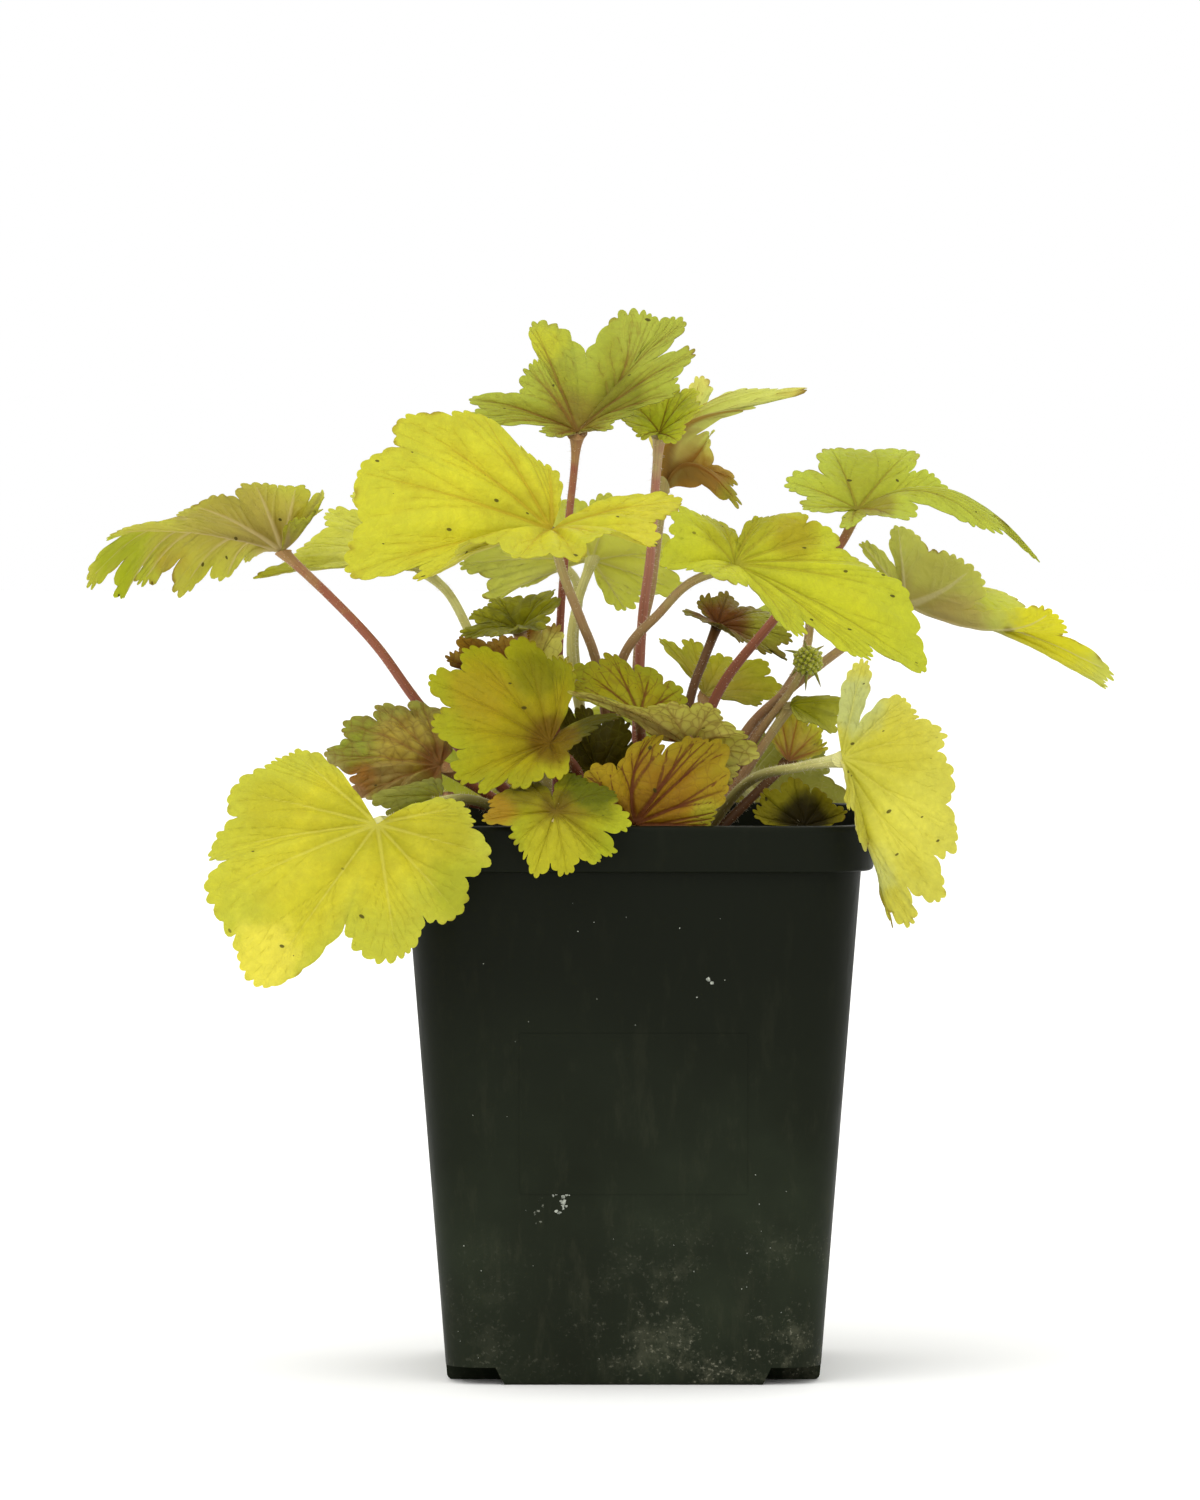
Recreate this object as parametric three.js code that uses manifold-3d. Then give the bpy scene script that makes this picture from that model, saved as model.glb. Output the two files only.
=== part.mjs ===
// A young heuchera (coral bells) with lime-yellow leaves in a square plastic nursery pot.
//
// Millimetres, +Z up. The origin is the centre of the pot's flat base, on the surface that it
// stands on. -Y is the front. The pot holds a plug of potting soil, and the plant's crown stands in
// a plain hole in the soil. The petioles grow out of the crown, so crown and petioles are one
// solid. Each leaf blade is a solid of its own, held a hair's breadth off the end of its petiole.

import * as THREE from "three";
import { mergeVertices } from "three/addons/utils/BufferGeometryUtils.js";
import Module from "manifold-3d";

const wasm = await Module();
wasm.setup();

// ---------------------------------------------------------------- driving dimensions

const GAP = 0.3; // clearance between solids that touch

const POT_HEIGHT = 128.5;
const POT_RIM_WIDTH = 110; // outside, across the rim band
const POT_TOP_WIDTH = 104; // outside, just under the rim band
const POT_BASE_WIDTH = 85.4; // outside, at the foot
const POT_RIM_BAND = 10.5; // height of the rim band
const POT_WALL = 1.3;
const POT_FLOOR = 1.6;
const POT_TOP_CORNER = 13; // corner radius at the rim
const POT_BASE_CORNER = 9; // corner radius at the foot
const FOOT_HEIGHT = 4; // how far the corners of the base are raised
const FOOT_HALF_WIDTH = 31.5; // half the width of each foot along its side
const FOOT_LEAN = 2.5; // how far the inner faces of the raised corners lean
const DRAIN_RADIUS = 3.2;
const DRAIN_PLACE = 35.2; // how far each drain lies from the middle of the base, along x and y
const CORNER_STEPS = 4; // segments in each rounded corner

const SOIL_TOP = 114; // mean height of the soil
const SOIL_BUMP = 1.6; // how far the soil rises and falls
const HOLE_RADIUS = 21; // plain hole in the soil for the crown
const HOLE_DEPTH = 9;

const CROWN_TOP = 122;

const BLADE = 0.7; // leaf blade thickness
const FAN_LENGTHS = [0.6, 0.8, 0.94, 1, 0.94, 0.8, 0.6]; // veins of a regular leaf, as shares
const PETIOLE_SIDES = 6;
const PETIOLE_STEP = 19; // length of a petiole's straight pieces
const PETIOLE_TAPER = 1.45; // how much thicker a petiole is at its foot

// ---------------------------------------------------------------- small helpers

const rad = THREE.MathUtils.degToRad;
const vec = (p) => new THREE.Vector3(...p);

// A repeatable number from 0 to 1 for the n-th choice of a leaf's seed.
function dice(seed, n) {
  const x = Math.sin(seed * 12.9898 + n * 78.233) * 43758.5453;
  return x - Math.floor(x);
}

// A closed mesh from its corner points and its triangles.
function closedMesh(points, triangles) {
  const geometry = new THREE.BufferGeometry().setFromPoints(points);
  geometry.setIndex(triangles.flat());
  return geometry;
}

function toSolid(geometry) {
  const bare = geometry.clone();
  bare.deleteAttribute("normal");
  bare.deleteAttribute("uv");
  const merged = mergeVertices(bare, 1e-4);
  return new wasm.Manifold(
    new wasm.Mesh({
      numProp: 3,
      vertProperties: new Float32Array(merged.attributes.position.array),
      triVerts: new Uint32Array(merged.index.array),
    }),
  );
}

function toGeometry(solid) {
  const mesh = solid.getMesh();
  const geometry = new THREE.BufferGeometry();
  geometry.setAttribute("position", new THREE.BufferAttribute(mesh.vertProperties, 3));
  geometry.setIndex(new THREE.BufferAttribute(mesh.triVerts, 1));
  return geometry;
}

// Rings of equally many points, closed round each ring and capped at both ends.
function loft(rings) {
  const count = rings[0].length;
  const points = rings.flat();
  const triangles = [];
  for (let k = 0; k + 1 < rings.length; k++) {
    for (let i = 0; i < count; i++) {
      const a = k * count + i;
      const b = k * count + ((i + 1) % count);
      triangles.push([a, b, b + count], [a, b + count, a + count]);
    }
  }
  const middle = (ring) =>
    ring.reduce((sum, p) => sum.add(p), new THREE.Vector3()).divideScalar(ring.length);
  const first = points.push(middle(rings[0])) - 1;
  const last = points.push(middle(rings.at(-1))) - 1;
  const top = (rings.length - 1) * count;
  for (let i = 0; i < count; i++) {
    const j = (i + 1) % count;
    triangles.push([first, j, i], [last, top + i, top + j]);
  }
  return closedMesh(points, triangles);
}

// ---------------------------------------------------------------- pot

// A square of half-width half with rounded corners, at height z, counter-clockwise from above.
function roundedSquare(half, radius, z) {
  const ring = [];
  for (let corner = 0; corner < 4; corner++) {
    for (let step = 0; step <= CORNER_STEPS; step++) {
      const angle = rad(90 * corner + (90 * step) / CORNER_STEPS);
      const turn = rad(90 * corner + 45);
      const cx = Math.sign(Math.cos(turn)) * (half - radius);
      const cy = Math.sign(Math.sin(turn)) * (half - radius);
      ring.push(
        new THREE.Vector3(cx + radius * Math.cos(angle), cy + radius * Math.sin(angle), z),
      );
    }
  }
  return ring;
}

// The wall's outer half-width and corner radius at height z, under the rim band.
function potSection(z, inset = 0) {
  const share = z / (POT_HEIGHT - POT_RIM_BAND);
  const half = THREE.MathUtils.lerp(POT_BASE_WIDTH, POT_TOP_WIDTH, share) / 2;
  const corner = THREE.MathUtils.lerp(POT_BASE_CORNER, POT_TOP_CORNER, share);
  return roundedSquare(half - inset, corner - inset, z);
}

// A four-sided block under one corner of the base, up to height, whose inner faces lean.
function cornerBlock(height, inner, sx, sy) {
  const outer = POT_BASE_WIDTH;
  const ring = (start, z) => {
    const corners = [
      [start, start],
      [outer, start],
      [outer, outer],
      [start, outer],
    ].map(([x, y]) => new THREE.Vector3(sx * x, sy * y, z));
    return sx * sy > 0 ? corners : corners.reverse();
  };
  return toSolid(loft([ring(inner - FOOT_LEAN, -1), ring(inner, height)]));
}

const CORNERS = [
  [1, 1],
  [-1, 1],
  [-1, -1],
  [1, -1],
];

function makePot() {
  const bandFoot = POT_HEIGHT - POT_RIM_BAND;
  const rimHalf = POT_RIM_WIDTH / 2;
  const outside = [
    roundedSquare(POT_BASE_WIDTH / 2 - 1, POT_BASE_CORNER - 1, 0),
    potSection(1.2),
    potSection(bandFoot - 0.6),
    roundedSquare(rimHalf - 0.5, POT_TOP_CORNER + 1, bandFoot),
    roundedSquare(rimHalf, POT_TOP_CORNER + 1.5, POT_HEIGHT - 2),
    roundedSquare(rimHalf - 0.8, POT_TOP_CORNER + 1, POT_HEIGHT),
    roundedSquare(rimHalf - 2.4, POT_TOP_CORNER - 1, POT_HEIGHT),
    potSection(bandFoot + 2, POT_WALL),
    potSection(POT_FLOOR, POT_WALL),
  ];
  let pot = toSolid(loft(outside));
  for (const [sx, sy] of CORNERS) {
    // Each corner of the floor is raised, inside and out, and drains through one hole.
    const step = cornerBlock(FOOT_HEIGHT + POT_FLOOR, FOOT_HALF_WIDTH - POT_WALL, sx, sy);
    const inside = toSolid(loft([potSection(0.1, POT_WALL / 2), potSection(20, POT_WALL / 2)]));
    pot = pot.add(step.intersect(inside));
    pot = pot.subtract(cornerBlock(FOOT_HEIGHT, FOOT_HALF_WIDTH, sx, sy));
    const drain = new THREE.CylinderGeometry(DRAIN_RADIUS, DRAIN_RADIUS, 30, 12)
      .rotateX(Math.PI / 2)
      .translate(sx * DRAIN_PLACE, sy * DRAIN_PLACE, FOOT_HEIGHT);
    pot = pot.subtract(toSolid(drain));
  }
  return toGeometry(pot);
}

// ---------------------------------------------------------------- soil

function soilHeight(x, y) {
  return (
    SOIL_TOP +
    SOIL_BUMP * (0.6 * Math.sin(x / 9 + 1) * Math.cos(y / 7) + 0.4 * Math.sin(x / 4 - y / 5)) +
    2.5 * Math.exp(-(x * x + y * y) / 500)
  );
}

function makeSoil() {
  const inset = POT_WALL + GAP;
  const sides = [potSection(POT_FLOOR + GAP, inset), potSection(SOIL_TOP - 3, inset)];
  // The top is drawn in towards the middle in steps, each point at the soil's own height.
  const edge = potSection(SOIL_TOP, inset);
  for (const share of [1, 0.78, 0.55, 0.3]) {
    sides.push(
      edge.map((p) => {
        const x = p.x * share;
        const y = p.y * share;
        return new THREE.Vector3(x, y, share === 1 ? SOIL_TOP - 1 : soilHeight(x, y));
      }),
    );
  }
  let soil = toSolid(loft(sides));
  for (const [sx, sy] of CORNERS) {
    const height = FOOT_HEIGHT + POT_FLOOR + GAP;
    soil = soil.subtract(cornerBlock(height, FOOT_HALF_WIDTH - POT_WALL - GAP, sx, sy));
  }
  const hole = new THREE.CylinderGeometry(HOLE_RADIUS, HOLE_RADIUS, 60, 16)
    .rotateX(Math.PI / 2)
    .translate(0, 0, SOIL_TOP - HOLE_DEPTH + 30);
  return toGeometry(soil.subtract(toSolid(hole)));
}

// ---------------------------------------------------------------- leaf blades

// A blade is spanned by its main veins, which all start at the petiole. A place on it is given by u,
// which runs across the veins (vein k lies at u = k, the notch beside it at k + 0.5), and by reach,
// which runs from 0 at the petiole to 1 at the tip of a vein.

// The veins of a leaf that is given by its midrib, the side it faces, its spread and its droop.
function fan(leaf) {
  const tip = vec(leaf.tip).normalize();
  const face = vec(leaf.face);
  face.addScaledVector(tip, -face.dot(tip)).normalize();
  const side = new THREE.Vector3().crossVectors(tip, face);
  const half = (FAN_LENGTHS.length - 1) / 2;
  return FAN_LENGTHS.map((length, k) => {
    const angle = rad((leaf.spread * (k - half)) / half + 12 * (dice(leaf.seed, k) - 0.5));
    const droop = rad(leaf.droop * (0.6 + 0.8 * dice(leaf.seed, k + 9)));
    return tip
      .clone()
      .multiplyScalar(Math.cos(angle) * Math.cos(droop))
      .addScaledVector(side, Math.sin(angle) * Math.cos(droop))
      .addScaledVector(face, -Math.sin(droop))
      .multiplyScalar(leaf.size * length);
  });
}

// The leaf's veins with the bow of each, and a made-up vein past the first and the last one.
function growVeins(leaf) {
  const tips = leaf.veins ? leaf.veins.map(vec) : fan(leaf);
  leaf.lobes = tips.length;
  const mirror = (a, b) => a.clone().reflect(b.clone().normalize()).negate().setLength(b.length());
  const all = [mirror(tips[1], tips[0]), ...tips, mirror(tips.at(-2), tips.at(-1))];
  leaf.faceAxis = new THREE.Vector3();
  leaf.ribs = all.map((tip, n) => {
    const k = THREE.MathUtils.clamp(n, 1, tips.length);
    const across = all[k + 1].clone().sub(all[k - 1]);
    const up = across.cross(all[k]).normalize();
    leaf.faceAxis.add(up);
    const extra = leaf.bows[n - 1] ?? [0, 0, 0];
    return { tip, bow: up.multiplyScalar(leaf.arch * tip.length()).add(vec(extra)) };
  });
  leaf.faceAxis.normalize();
}

// The smooth sheet through the veins, before ruffles.
function sheetPoint(leaf, u, reach) {
  const k = THREE.MathUtils.clamp(Math.floor(u), -1, leaf.lobes - 1);
  const f = u - k;
  const weights = [
    (-f + 2 * f * f - f * f * f) / 2,
    (2 - 5 * f * f + 3 * f * f * f) / 2,
    (f + 4 * f * f - 3 * f * f * f) / 2,
    (f * f * f - f * f) / 2,
  ];
  const last = leaf.ribs.length - 1;
  const point = leaf.origin.clone();
  weights.forEach((weight, n) => {
    const { tip, bow } = leaf.ribs[THREE.MathUtils.clamp(k + n, 0, last)];
    point.addScaledVector(tip, weight * reach);
    point.addScaledVector(bow, weight * 4 * reach * (1 - reach));
  });
  return point;
}

// The blade's middle surface: the sheet, puffed up between the veins and ruffled at the edge.
function bladePoint(leaf, u, reach) {
  const point = sheetPoint(leaf, u, reach);
  const r = Math.max(reach, 0.02);
  const across = sheetPoint(leaf, u + 0.02, r).sub(sheetPoint(leaf, u - 0.02, r));
  const along = sheetPoint(leaf, u, r + 0.01).sub(sheetPoint(leaf, u, r - 0.01));
  const up = across.cross(along).normalize();
  const puff = leaf.puff * leaf.size * reach * (1 - 0.6 * reach) * Math.sin(Math.PI * u) ** 2;
  const ruffle = leaf.ruffle * reach ** 3 * Math.sin(leaf.waves * u + 6 * dice(leaf.seed, 1));
  return point.addScaledVector(up, puff + ruffle);
}

// The outline as places [u, reach], from one side of the sinus round to the other, with steps
// points in each tooth.
function outline(leaf, steps) {
  const places = [];
  const count = leaf.lobes;
  for (let k = 0; k < count; k++) {
    const length = leaf.ribs[k + 1].tip.length();
    const width = leaf.ribs[k + 2].tip.distanceTo(leaf.ribs[k].tip) / 2;
    const floor = (side) => {
      const open = k + side < 0 || k + side >= count;
      const cut = Array.isArray(leaf.cut) ? leaf.cut[side < 0 ? k - 1 : k] : leaf.cut;
      return open ? leaf.sinus : 1 - cut;
    };
    const place = (share) => {
      const off = 2 * share - 1;
      const low = floor(off < 0 ? -1 : 1);
      return [k + off / 2, low + (1 - low) * (1 - Math.abs(off) ** leaf.round)];
    };
    const rise = (2 - floor(-1) - floor(1)) * length;
    const teeth = Math.max(2, Math.round((width + rise) / leaf.pitch));
    for (let i = 0; i < teeth * steps; i++) {
      const share = i / (teeth * steps);
      const [u, reach] = place(share);
      const [u0, reach0] = place(Math.max(share - 0.01, 0));
      const [u1, reach1] = place(Math.min(share + 0.01, 1));
      const run = (u1 - u0) * width;
      const climb = (reach1 - reach0) * length;
      const n = Math.floor(i / steps);
      const big = 0.6 + 0.8 * dice(leaf.seed + 3 * k, n);
      const lift = leaf.tooth * big * (Math.sin((Math.PI * (i % steps)) / steps) ** 0.7 - 0.4);
      const slant = Math.hypot(run, climb);
      places.push([
        u - (lift * climb) / slant / width,
        reach + (lift * run) / slant / length,
      ]);
    }
  }
  places.push([count - 0.5, leaf.sinus]);
  return places;
}

// Triangles between an outer and an inner row of points that span the same arc.
function stitch(outer, outerCount, inner, innerCount) {
  const triangles = [];
  let i = 0;
  let j = 0;
  while (i < outerCount || j < innerCount) {
    const outerNext = (i + 1) / outerCount;
    const innerNext = (j + 0.5) / innerCount;
    if (j === innerCount || (i < outerCount && outerNext <= innerNext)) {
      triangles.push([outer + i, inner + j, outer + i + 1]);
      i += 1;
    } else {
      triangles.push([outer + i, inner + j, inner + j + 1]);
      j += 1;
    }
  }
  return triangles;
}

// The rows of points in a blade: how far out each lies, and how many points it has for each of
// the outline's.
const ROWS = [
  { scale: 1, share: 1 },
  { scale: 0.62, share: 0.36 },
  { scale: 0.26, share: 0.15 },
];

function makeBlade(leaf) {
  const edge = outline(leaf, 2);
  const points = [];
  const starts = [];
  const counts = [];
  for (const { scale, share } of ROWS) {
    const count = Math.max(4, Math.round((edge.length - 1) * share));
    starts.push(points.length);
    counts.push(count);
    for (let i = 0; i <= count; i++) {
      const place = (i / count) * (edge.length - 1);
      const n = Math.min(Math.floor(place), edge.length - 2);
      const [u0, reach0] = edge[n];
      const [u1, reach1] = edge[n + 1];
      const u = THREE.MathUtils.lerp(u0, u1, place - n);
      const reach = THREE.MathUtils.lerp(reach0, reach1, place - n);
      points.push(bladePoint(leaf, u, reach * scale));
    }
  }
  const centre = points.push(bladePoint(leaf, 0, 0)) - 1;
  const face = [];
  for (let n = 0; n + 1 < ROWS.length; n++) {
    face.push(...stitch(starts[n], counts[n], starts[n + 1], counts[n + 1]));
  }
  const inner = starts.at(-1);
  for (let i = 0; i < counts.at(-1); i++) face.push([inner + i, centre, inner + i + 1]);

  // The edge: out along one side of the sinus, round the teeth and back along the other side.
  const rim = [centre];
  for (let n = ROWS.length - 1; n > 0; n--) rim.push(starts[n]);
  for (let i = 0; i <= counts[0]; i++) rim.push(i);
  for (let n = 1; n < ROWS.length; n++) rim.push(starts[n] + counts[n]);

  const flat = new THREE.BufferGeometry().setFromPoints(points).setIndex(face.flat());
  flat.computeVertexNormals();
  const normal = (i) => new THREE.Vector3().fromBufferAttribute(flat.attributes.normal, i);
  const lifted = (side) =>
    points.map((p, i) => p.clone().addScaledVector(normal(i), (side * BLADE) / 2));
  const under = points.length;
  const triangles = [
    ...face,
    ...face.map(([a, b, c]) => [under + a, under + c, under + b]),
    ...rim.flatMap((a, i) => {
      const b = rim[(i + 1) % rim.length];
      return [
        [a, b, under + b],
        [a, under + b, under + a],
      ];
    }),
  ];
  return closedMesh([...lifted(1), ...lifted(-1)], triangles);
}

// ---------------------------------------------------------------- bud

// The end of the bud's stalk, just short of the bud.
function budFoot() {
  const [x, y, z] = BUD.at;
  return [x - 1.4, y, z - BUD.radius * 1.35];
}

// A ball of crowded little buds, with a few thin bracts standing out of it.
function makeBud() {
  const ball = new THREE.IcosahedronGeometry(BUD.radius, 1);
  ball.deleteAttribute("normal");
  ball.deleteAttribute("uv");
  const merged = mergeVertices(ball);
  const place = merged.attributes.position;
  for (let i = 0; i < place.count; i++) {
    const p = new THREE.Vector3().fromBufferAttribute(place, i);
    p.multiplyScalar(0.9 + 0.32 * dice(BUD.seed, i));
    place.setXYZ(i, p.x, p.y, p.z);
  }
  let bud = toSolid(merged);
  for (const tip of BUD.bracts) {
    const end = vec(tip);
    const bract = new THREE.ConeGeometry(0.75, end.length(), 5).translate(0, end.length() / 2, 0);
    const turn = new THREE.Quaternion().setFromUnitVectors(
      new THREE.Vector3(0, 1, 0),
      end.clone().normalize(),
    );
    bud = bud.add(toSolid(bract.applyQuaternion(turn)));
  }
  return toGeometry(bud.translate(BUD.at));
}

// ---------------------------------------------------------------- crown and petioles

// A closed tube along a curve, thicker at its foot.
function tube(curve, steps, sides, footRadius, endRadius) {
  const frames = curve.computeFrenetFrames(steps, false);
  const rings = [];
  for (let k = 0; k <= steps; k++) {
    const centre = curve.getPointAt(k / steps);
    const share = k / steps;
    const radius = endRadius + (footRadius - endRadius) * (1 - share) ** 2;
    const ring = [];
    for (let i = 0; i < sides; i++) {
      const angle = (2 * Math.PI * i) / sides;
      ring.push(
        centre
          .clone()
          .addScaledVector(frames.normals[k], radius * Math.cos(angle))
          .addScaledVector(frames.binormals[k], radius * Math.sin(angle)),
      );
    }
    rings.push(ring);
  }
  return loft(rings);
}

function petiole(leaf) {
  const path = [leaf.base, ...leaf.via].map(vec);
  // A petiole that runs along the blade's face needs its own radius as room beside it.
  const approach = leaf.origin.clone().sub(path.at(-1)).normalize();
  const flat = approach.cross(leaf.faceAxis).length();
  const off = BLADE / 2 + GAP + 0.1 + leaf.stalk * flat;
  path.push(leaf.origin.clone().addScaledVector(leaf.faceAxis, -off));
  const curve = new THREE.CatmullRomCurve3(path);
  const steps = Math.max(3, Math.round(curve.getLength() / PETIOLE_STEP));
  return tube(curve, steps, PETIOLE_SIDES, leaf.stalk * PETIOLE_TAPER, leaf.stalk);
}

// The woody crown: a low lumpy mound over a short neck that stands in the soil.
function crown() {
  const foot = SOIL_TOP - HOLE_DEPTH + GAP;
  const profile = [
    [0, foot],
    [HOLE_RADIUS - 3, foot],
    [HOLE_RADIUS - 1.2, foot + 2],
    [HOLE_RADIUS - 1.2, SOIL_TOP + 1.5],
    [15, CROWN_TOP - 2],
    [7, CROWN_TOP],
    [0, CROWN_TOP],
  ].map(([x, y]) => new THREE.Vector2(x, y));
  const lathe = new THREE.LatheGeometry(profile, 12).rotateX(Math.PI / 2);
  return toSolid(lathe);
}

function makeStems(leaves) {
  const stalk = new THREE.CatmullRomCurve3([...BUD.stalk, budFoot()].map(vec));
  let stems = crown().add(toSolid(tube(stalk, 4, PETIOLE_SIDES, 1.3, 0.8)));
  for (const leaf of leaves) stems = stems.add(toSolid(petiole(leaf)));
  return toGeometry(stems);
}

// ---------------------------------------------------------------- the leaves

// at: where the petiole meets the blade. veins: the tip of each main vein, measured from there, from
// the leaf's left to its right as seen from above with its tip ahead. cut: depth of the notches
// between the lobes, one value or one for each notch. arch: how far the veins bow upwards. bows: the
// extra bow of single veins. A regular leaf has tip, face, spread and droop in place of veins: the
// way that its midrib points, the way it faces, the angle of its outer veins and how far they all
// hang below the leaf's plane. base and via: the petiole's foot and the points that it passes.
const DEFAULTS = {
  color: "#b9bd36",
  size: 30, // length of a usual vein
  cut: 0.2,
  round: 2.2, // how blunt the lobes are
  sinus: 0.14,
  pitch: 5.5, // length of a tooth along the edge
  tooth: 1.1, // height of a tooth
  arch: 0.06,
  bows: {},
  puff: 0.04,
  ruffle: 0.8,
  waves: 3.1,
  spread: 138,
  droop: 12,
  stalk: 1.1, // radius of the petiole's end
  via: [],
};

const LEAVES = [
  {
    name: "front_left",
    color: "#ddd83e",
    at: [-58, -62, 129.3],
    veins: [
      [20, 4, 4],
      [25.5, -2, -7],
      [18.5, -4, -20],
      [4.5, -8, -30],
      [-26, -10, -36],
      [-38, -2, -16],
      [-38, 6, -6],
      [-33, 12, 7],
      [-19.5, 14, 16],
    ],
    cut: [0.1, 0.14, 0.2, 0.38, 0.06, 0.15, 0.13, 0.04],
    arch: 0.02,
    size: 40,
    base: [-12, -10, 118],
    via: [[-38, -42, 134]],
    seed: 1,
  },
  {
    name: "far_left",
    color: "#b5ae4c",
    at: [-81.6, 12, 189],
    veins: [
      [1.8, -10, 7],
      [9.8, -16, 12.6],
      [3.5, -16.5, 15.6],
      [-5.8, -17, 16],
      [-19.8, -17, 11.2],
      [-37.6, -12, 5],
      [-45.3, 0, -6.8],
      [-37.8, 10, -10.8],
      [-33.2, 13, -7.4],
      [-24.4, 18, -10.2],
      [-14, 20, -6.6],
      [-7, 16, -1],
      [7.5, 13, 9],
    ],
    arch: 0.08,
    size: 38,
    cut: [0.3, 0.35, 0.12, 0.3, 0.42, 0.3, 0.16, 0.26, 0.2, 0.14, 0.2, 0.6],
    bows: { 6: [-1, 0, 8.5], 7: [-2, 0, 9], 8: [-1, 0, 7], 9: [0, 0, 6], 10: [0, 0, 4] },
    round: 3.2,
    base: [-12, 2, 118],
    via: [[-47, 4, 150.5], [-60, 8, 167.5], [-70.5, 10, 178.5]],
    seed: 2,
  },
  {
    name: "upper_left",
    color: "#ddd83e",
    at: [-18.8, -30, 195],
    veins: [
      [29.5, 8, 6],
      [23, -8, -3],
      [12, -16, -1],
      [6, -21, -6],
      [-7, -21, -6],
      [-18.6, -14, -2],
      [-28, -18, -11],
      [-46, -10, -9.5],
      [-44, 0, 13],
      [-34, 8, 26],
      [-16, 10, 25.5],
      [-0.5, 8, 14.5],
    ],
    size: 40,
    cut: [0.2, 0.15, 0.1, 0.04, 0.1, 0.1, 0.3, 0.08, 0.14, 0.08, 0.08, 0.08],
    base: [-2, -8, 118],
    via: [[-8.5, -16, 164], [-12, -22, 174], [-16, -27, 184.5]],
    seed: 3,
  },
  {
    name: "top",
    color: "#a6aa32",
    at: [-13.1, -2, 217],
    veins: [
      [-6.2, -8, -1.2],
      [-18.3, -8, 2.6],
      [-24, -5, 3.6],
      [-24.3, 0, 8.5],
      [-11.3, 6, 14.2],
      [-10.3, 18, 25.4],
      [12, 14, 27.2],
      [24.8, 14, 26],
      [27, 5, 17.7],
      [22, -2, 9],
      [11.4, -6, 3],
      [7.2, -9, 1],
    ],
    size: 26,
    cut: [0.45, 0.12, 0.2, 0.35, 0.3, 0.38, 0.06, 0.34, 0.12, 0.3, 0.1],
    bows: { 6: [4, 0, -3] },
    stalk: 0.9,
    base: [-18, 0, 118],
    via: [[-17, 0, 173], [-15, -2, 197], [-13.8, -2, 208]],
    seed: 4,
  },
  {
    name: "top_front",
    color: "#9fa429",
    at: [6, 8, 216.5],
    veins: [
      [-4, -7, 0],
      [-8.5, -5, 2.5],
      [-6, 3, 7],
      [3, 8, 10],
      [8.5, 5, 10.5],
      [9.5, -3, 5],
      [4, -8, -1],
    ],
    size: 12,
    pitch: 4,
    base: [0, 2, 118],
    via: [[2, 8, 173], [3.8, 8, 187], [5, 8, 203.5]],
    seed: 5,
  },
  {
    name: "top_back",
    color: "#8d7b2d",
    at: [7.1, 20, 203],
    veins: [
      [17, -6, -3],
      [16.5, -2, 3],
      [11, 4, 12],
      [20.2, 6, 18.9],
      [33.5, 8, 23.3],
      [19.8, 10, 24.2],
      [9, 20, 26],
      [-2, 22, 20],
    ],
    size: 24,
    cut: [0.2, 0.2, 0.3, 0.03, 0.03, 0.3, 0.3],
    bows: { 0: [-2, 0, 8], 1: [0, 0, 3], 3: [-7, 0, 4], 4: [-11, 0, 4], 5: [-7, 0, 4] },
    base: [3, 7, 118],
    via: [[1, 12, 165], [4, 16, 180], [5.5, 18, 191.5]],
    seed: 6,
  },
  {
    name: "right",
    color: "#cbce33",
    at: [23.1, -28, 187],
    veins: [
      [5.8, 12, 10.5],
      [14.4, 12, 11.7],
      [23, 10, 6.9],
      [30.5, 6, 0],
      [39.6, 2, -6.9],
      [43.5, -8, -24],
      [27.5, -12, -20.6],
      [12.6, -14, -14.2],
      [-5.3, -14, -2.3],
      [-16.5, -10, 0.5],
      [-13, -2, 12.4],
      [-3.4, 8, 10.3],
    ],
    size: 32,
    cut: [0.12, 0.15, 0.15, 0.1, 0.03, 0.2, 0.3, 0.35, 0.12, 0.1, 0.15],
    base: [-6, -6, 118],
    via: [[-2.6, -16, 165], [6, -22, 176], [13, -26, 183]],
    seed: 7,
  },
  {
    name: "upper_right",
    color: "#b2b63a",
    at: [52, 12, 198.5],
    veins: [
      [-11.9, -8, 0.5],
      [-16, 2, 6.7],
      [-5.8, 16, 14],
      [12.8, 18, 13.7],
      [20.5, 10, 5.4],
      [41.6, -2, -11],
      [29.8, -12, -4],
      [9, -15, -1.2],
      [-1.6, -14, -3.5],
    ],
    size: 26,
    bows: { 5: [0, 0, 7.2], 6: [0, 0, 4.8] },
    cut: [0.35, 0.4, 0.12, 0.3, 0.38, 0.28, 0.4, 0.25],
    round: 2.6,
    base: [11, 4, 118],
    via: [[18.5, 8, 154], [32, 10, 172.5], [48, 12, 190.5]],
    seed: 8,
  },
  {
    name: "far_right",
    color: "#b7b451",
    at: [63.2, 10, 176.8],
    veins: [
      [8, 24, 2],
      [24, 22, 2],
      [44.5, 5, -18.4],
      [47.6, 1, -15.2],
      [33.5, -7, -1.4],
      [15, -10, 9.2],
      [-2, -12, 18.1],
      [-10, -4, 14.5],
    ],
    size: 34,
    cut: [0.2, 0.3, 0.05, 0.2, 0.58, 0.2, 0.75],
    bows: { 3: [0, 0, 0.5], 4: [3, 0, -6], 5: [1, 0, -1.5] },
    base: [14, 6, 118],
    via: [[26, 8, 147], [35, 9, 156], [49, 10, 167]],
    seed: 9,
  },
  {
    name: "low_right",
    color: "#dcd748",
    at: [47.3, -56, 143.8],
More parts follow.
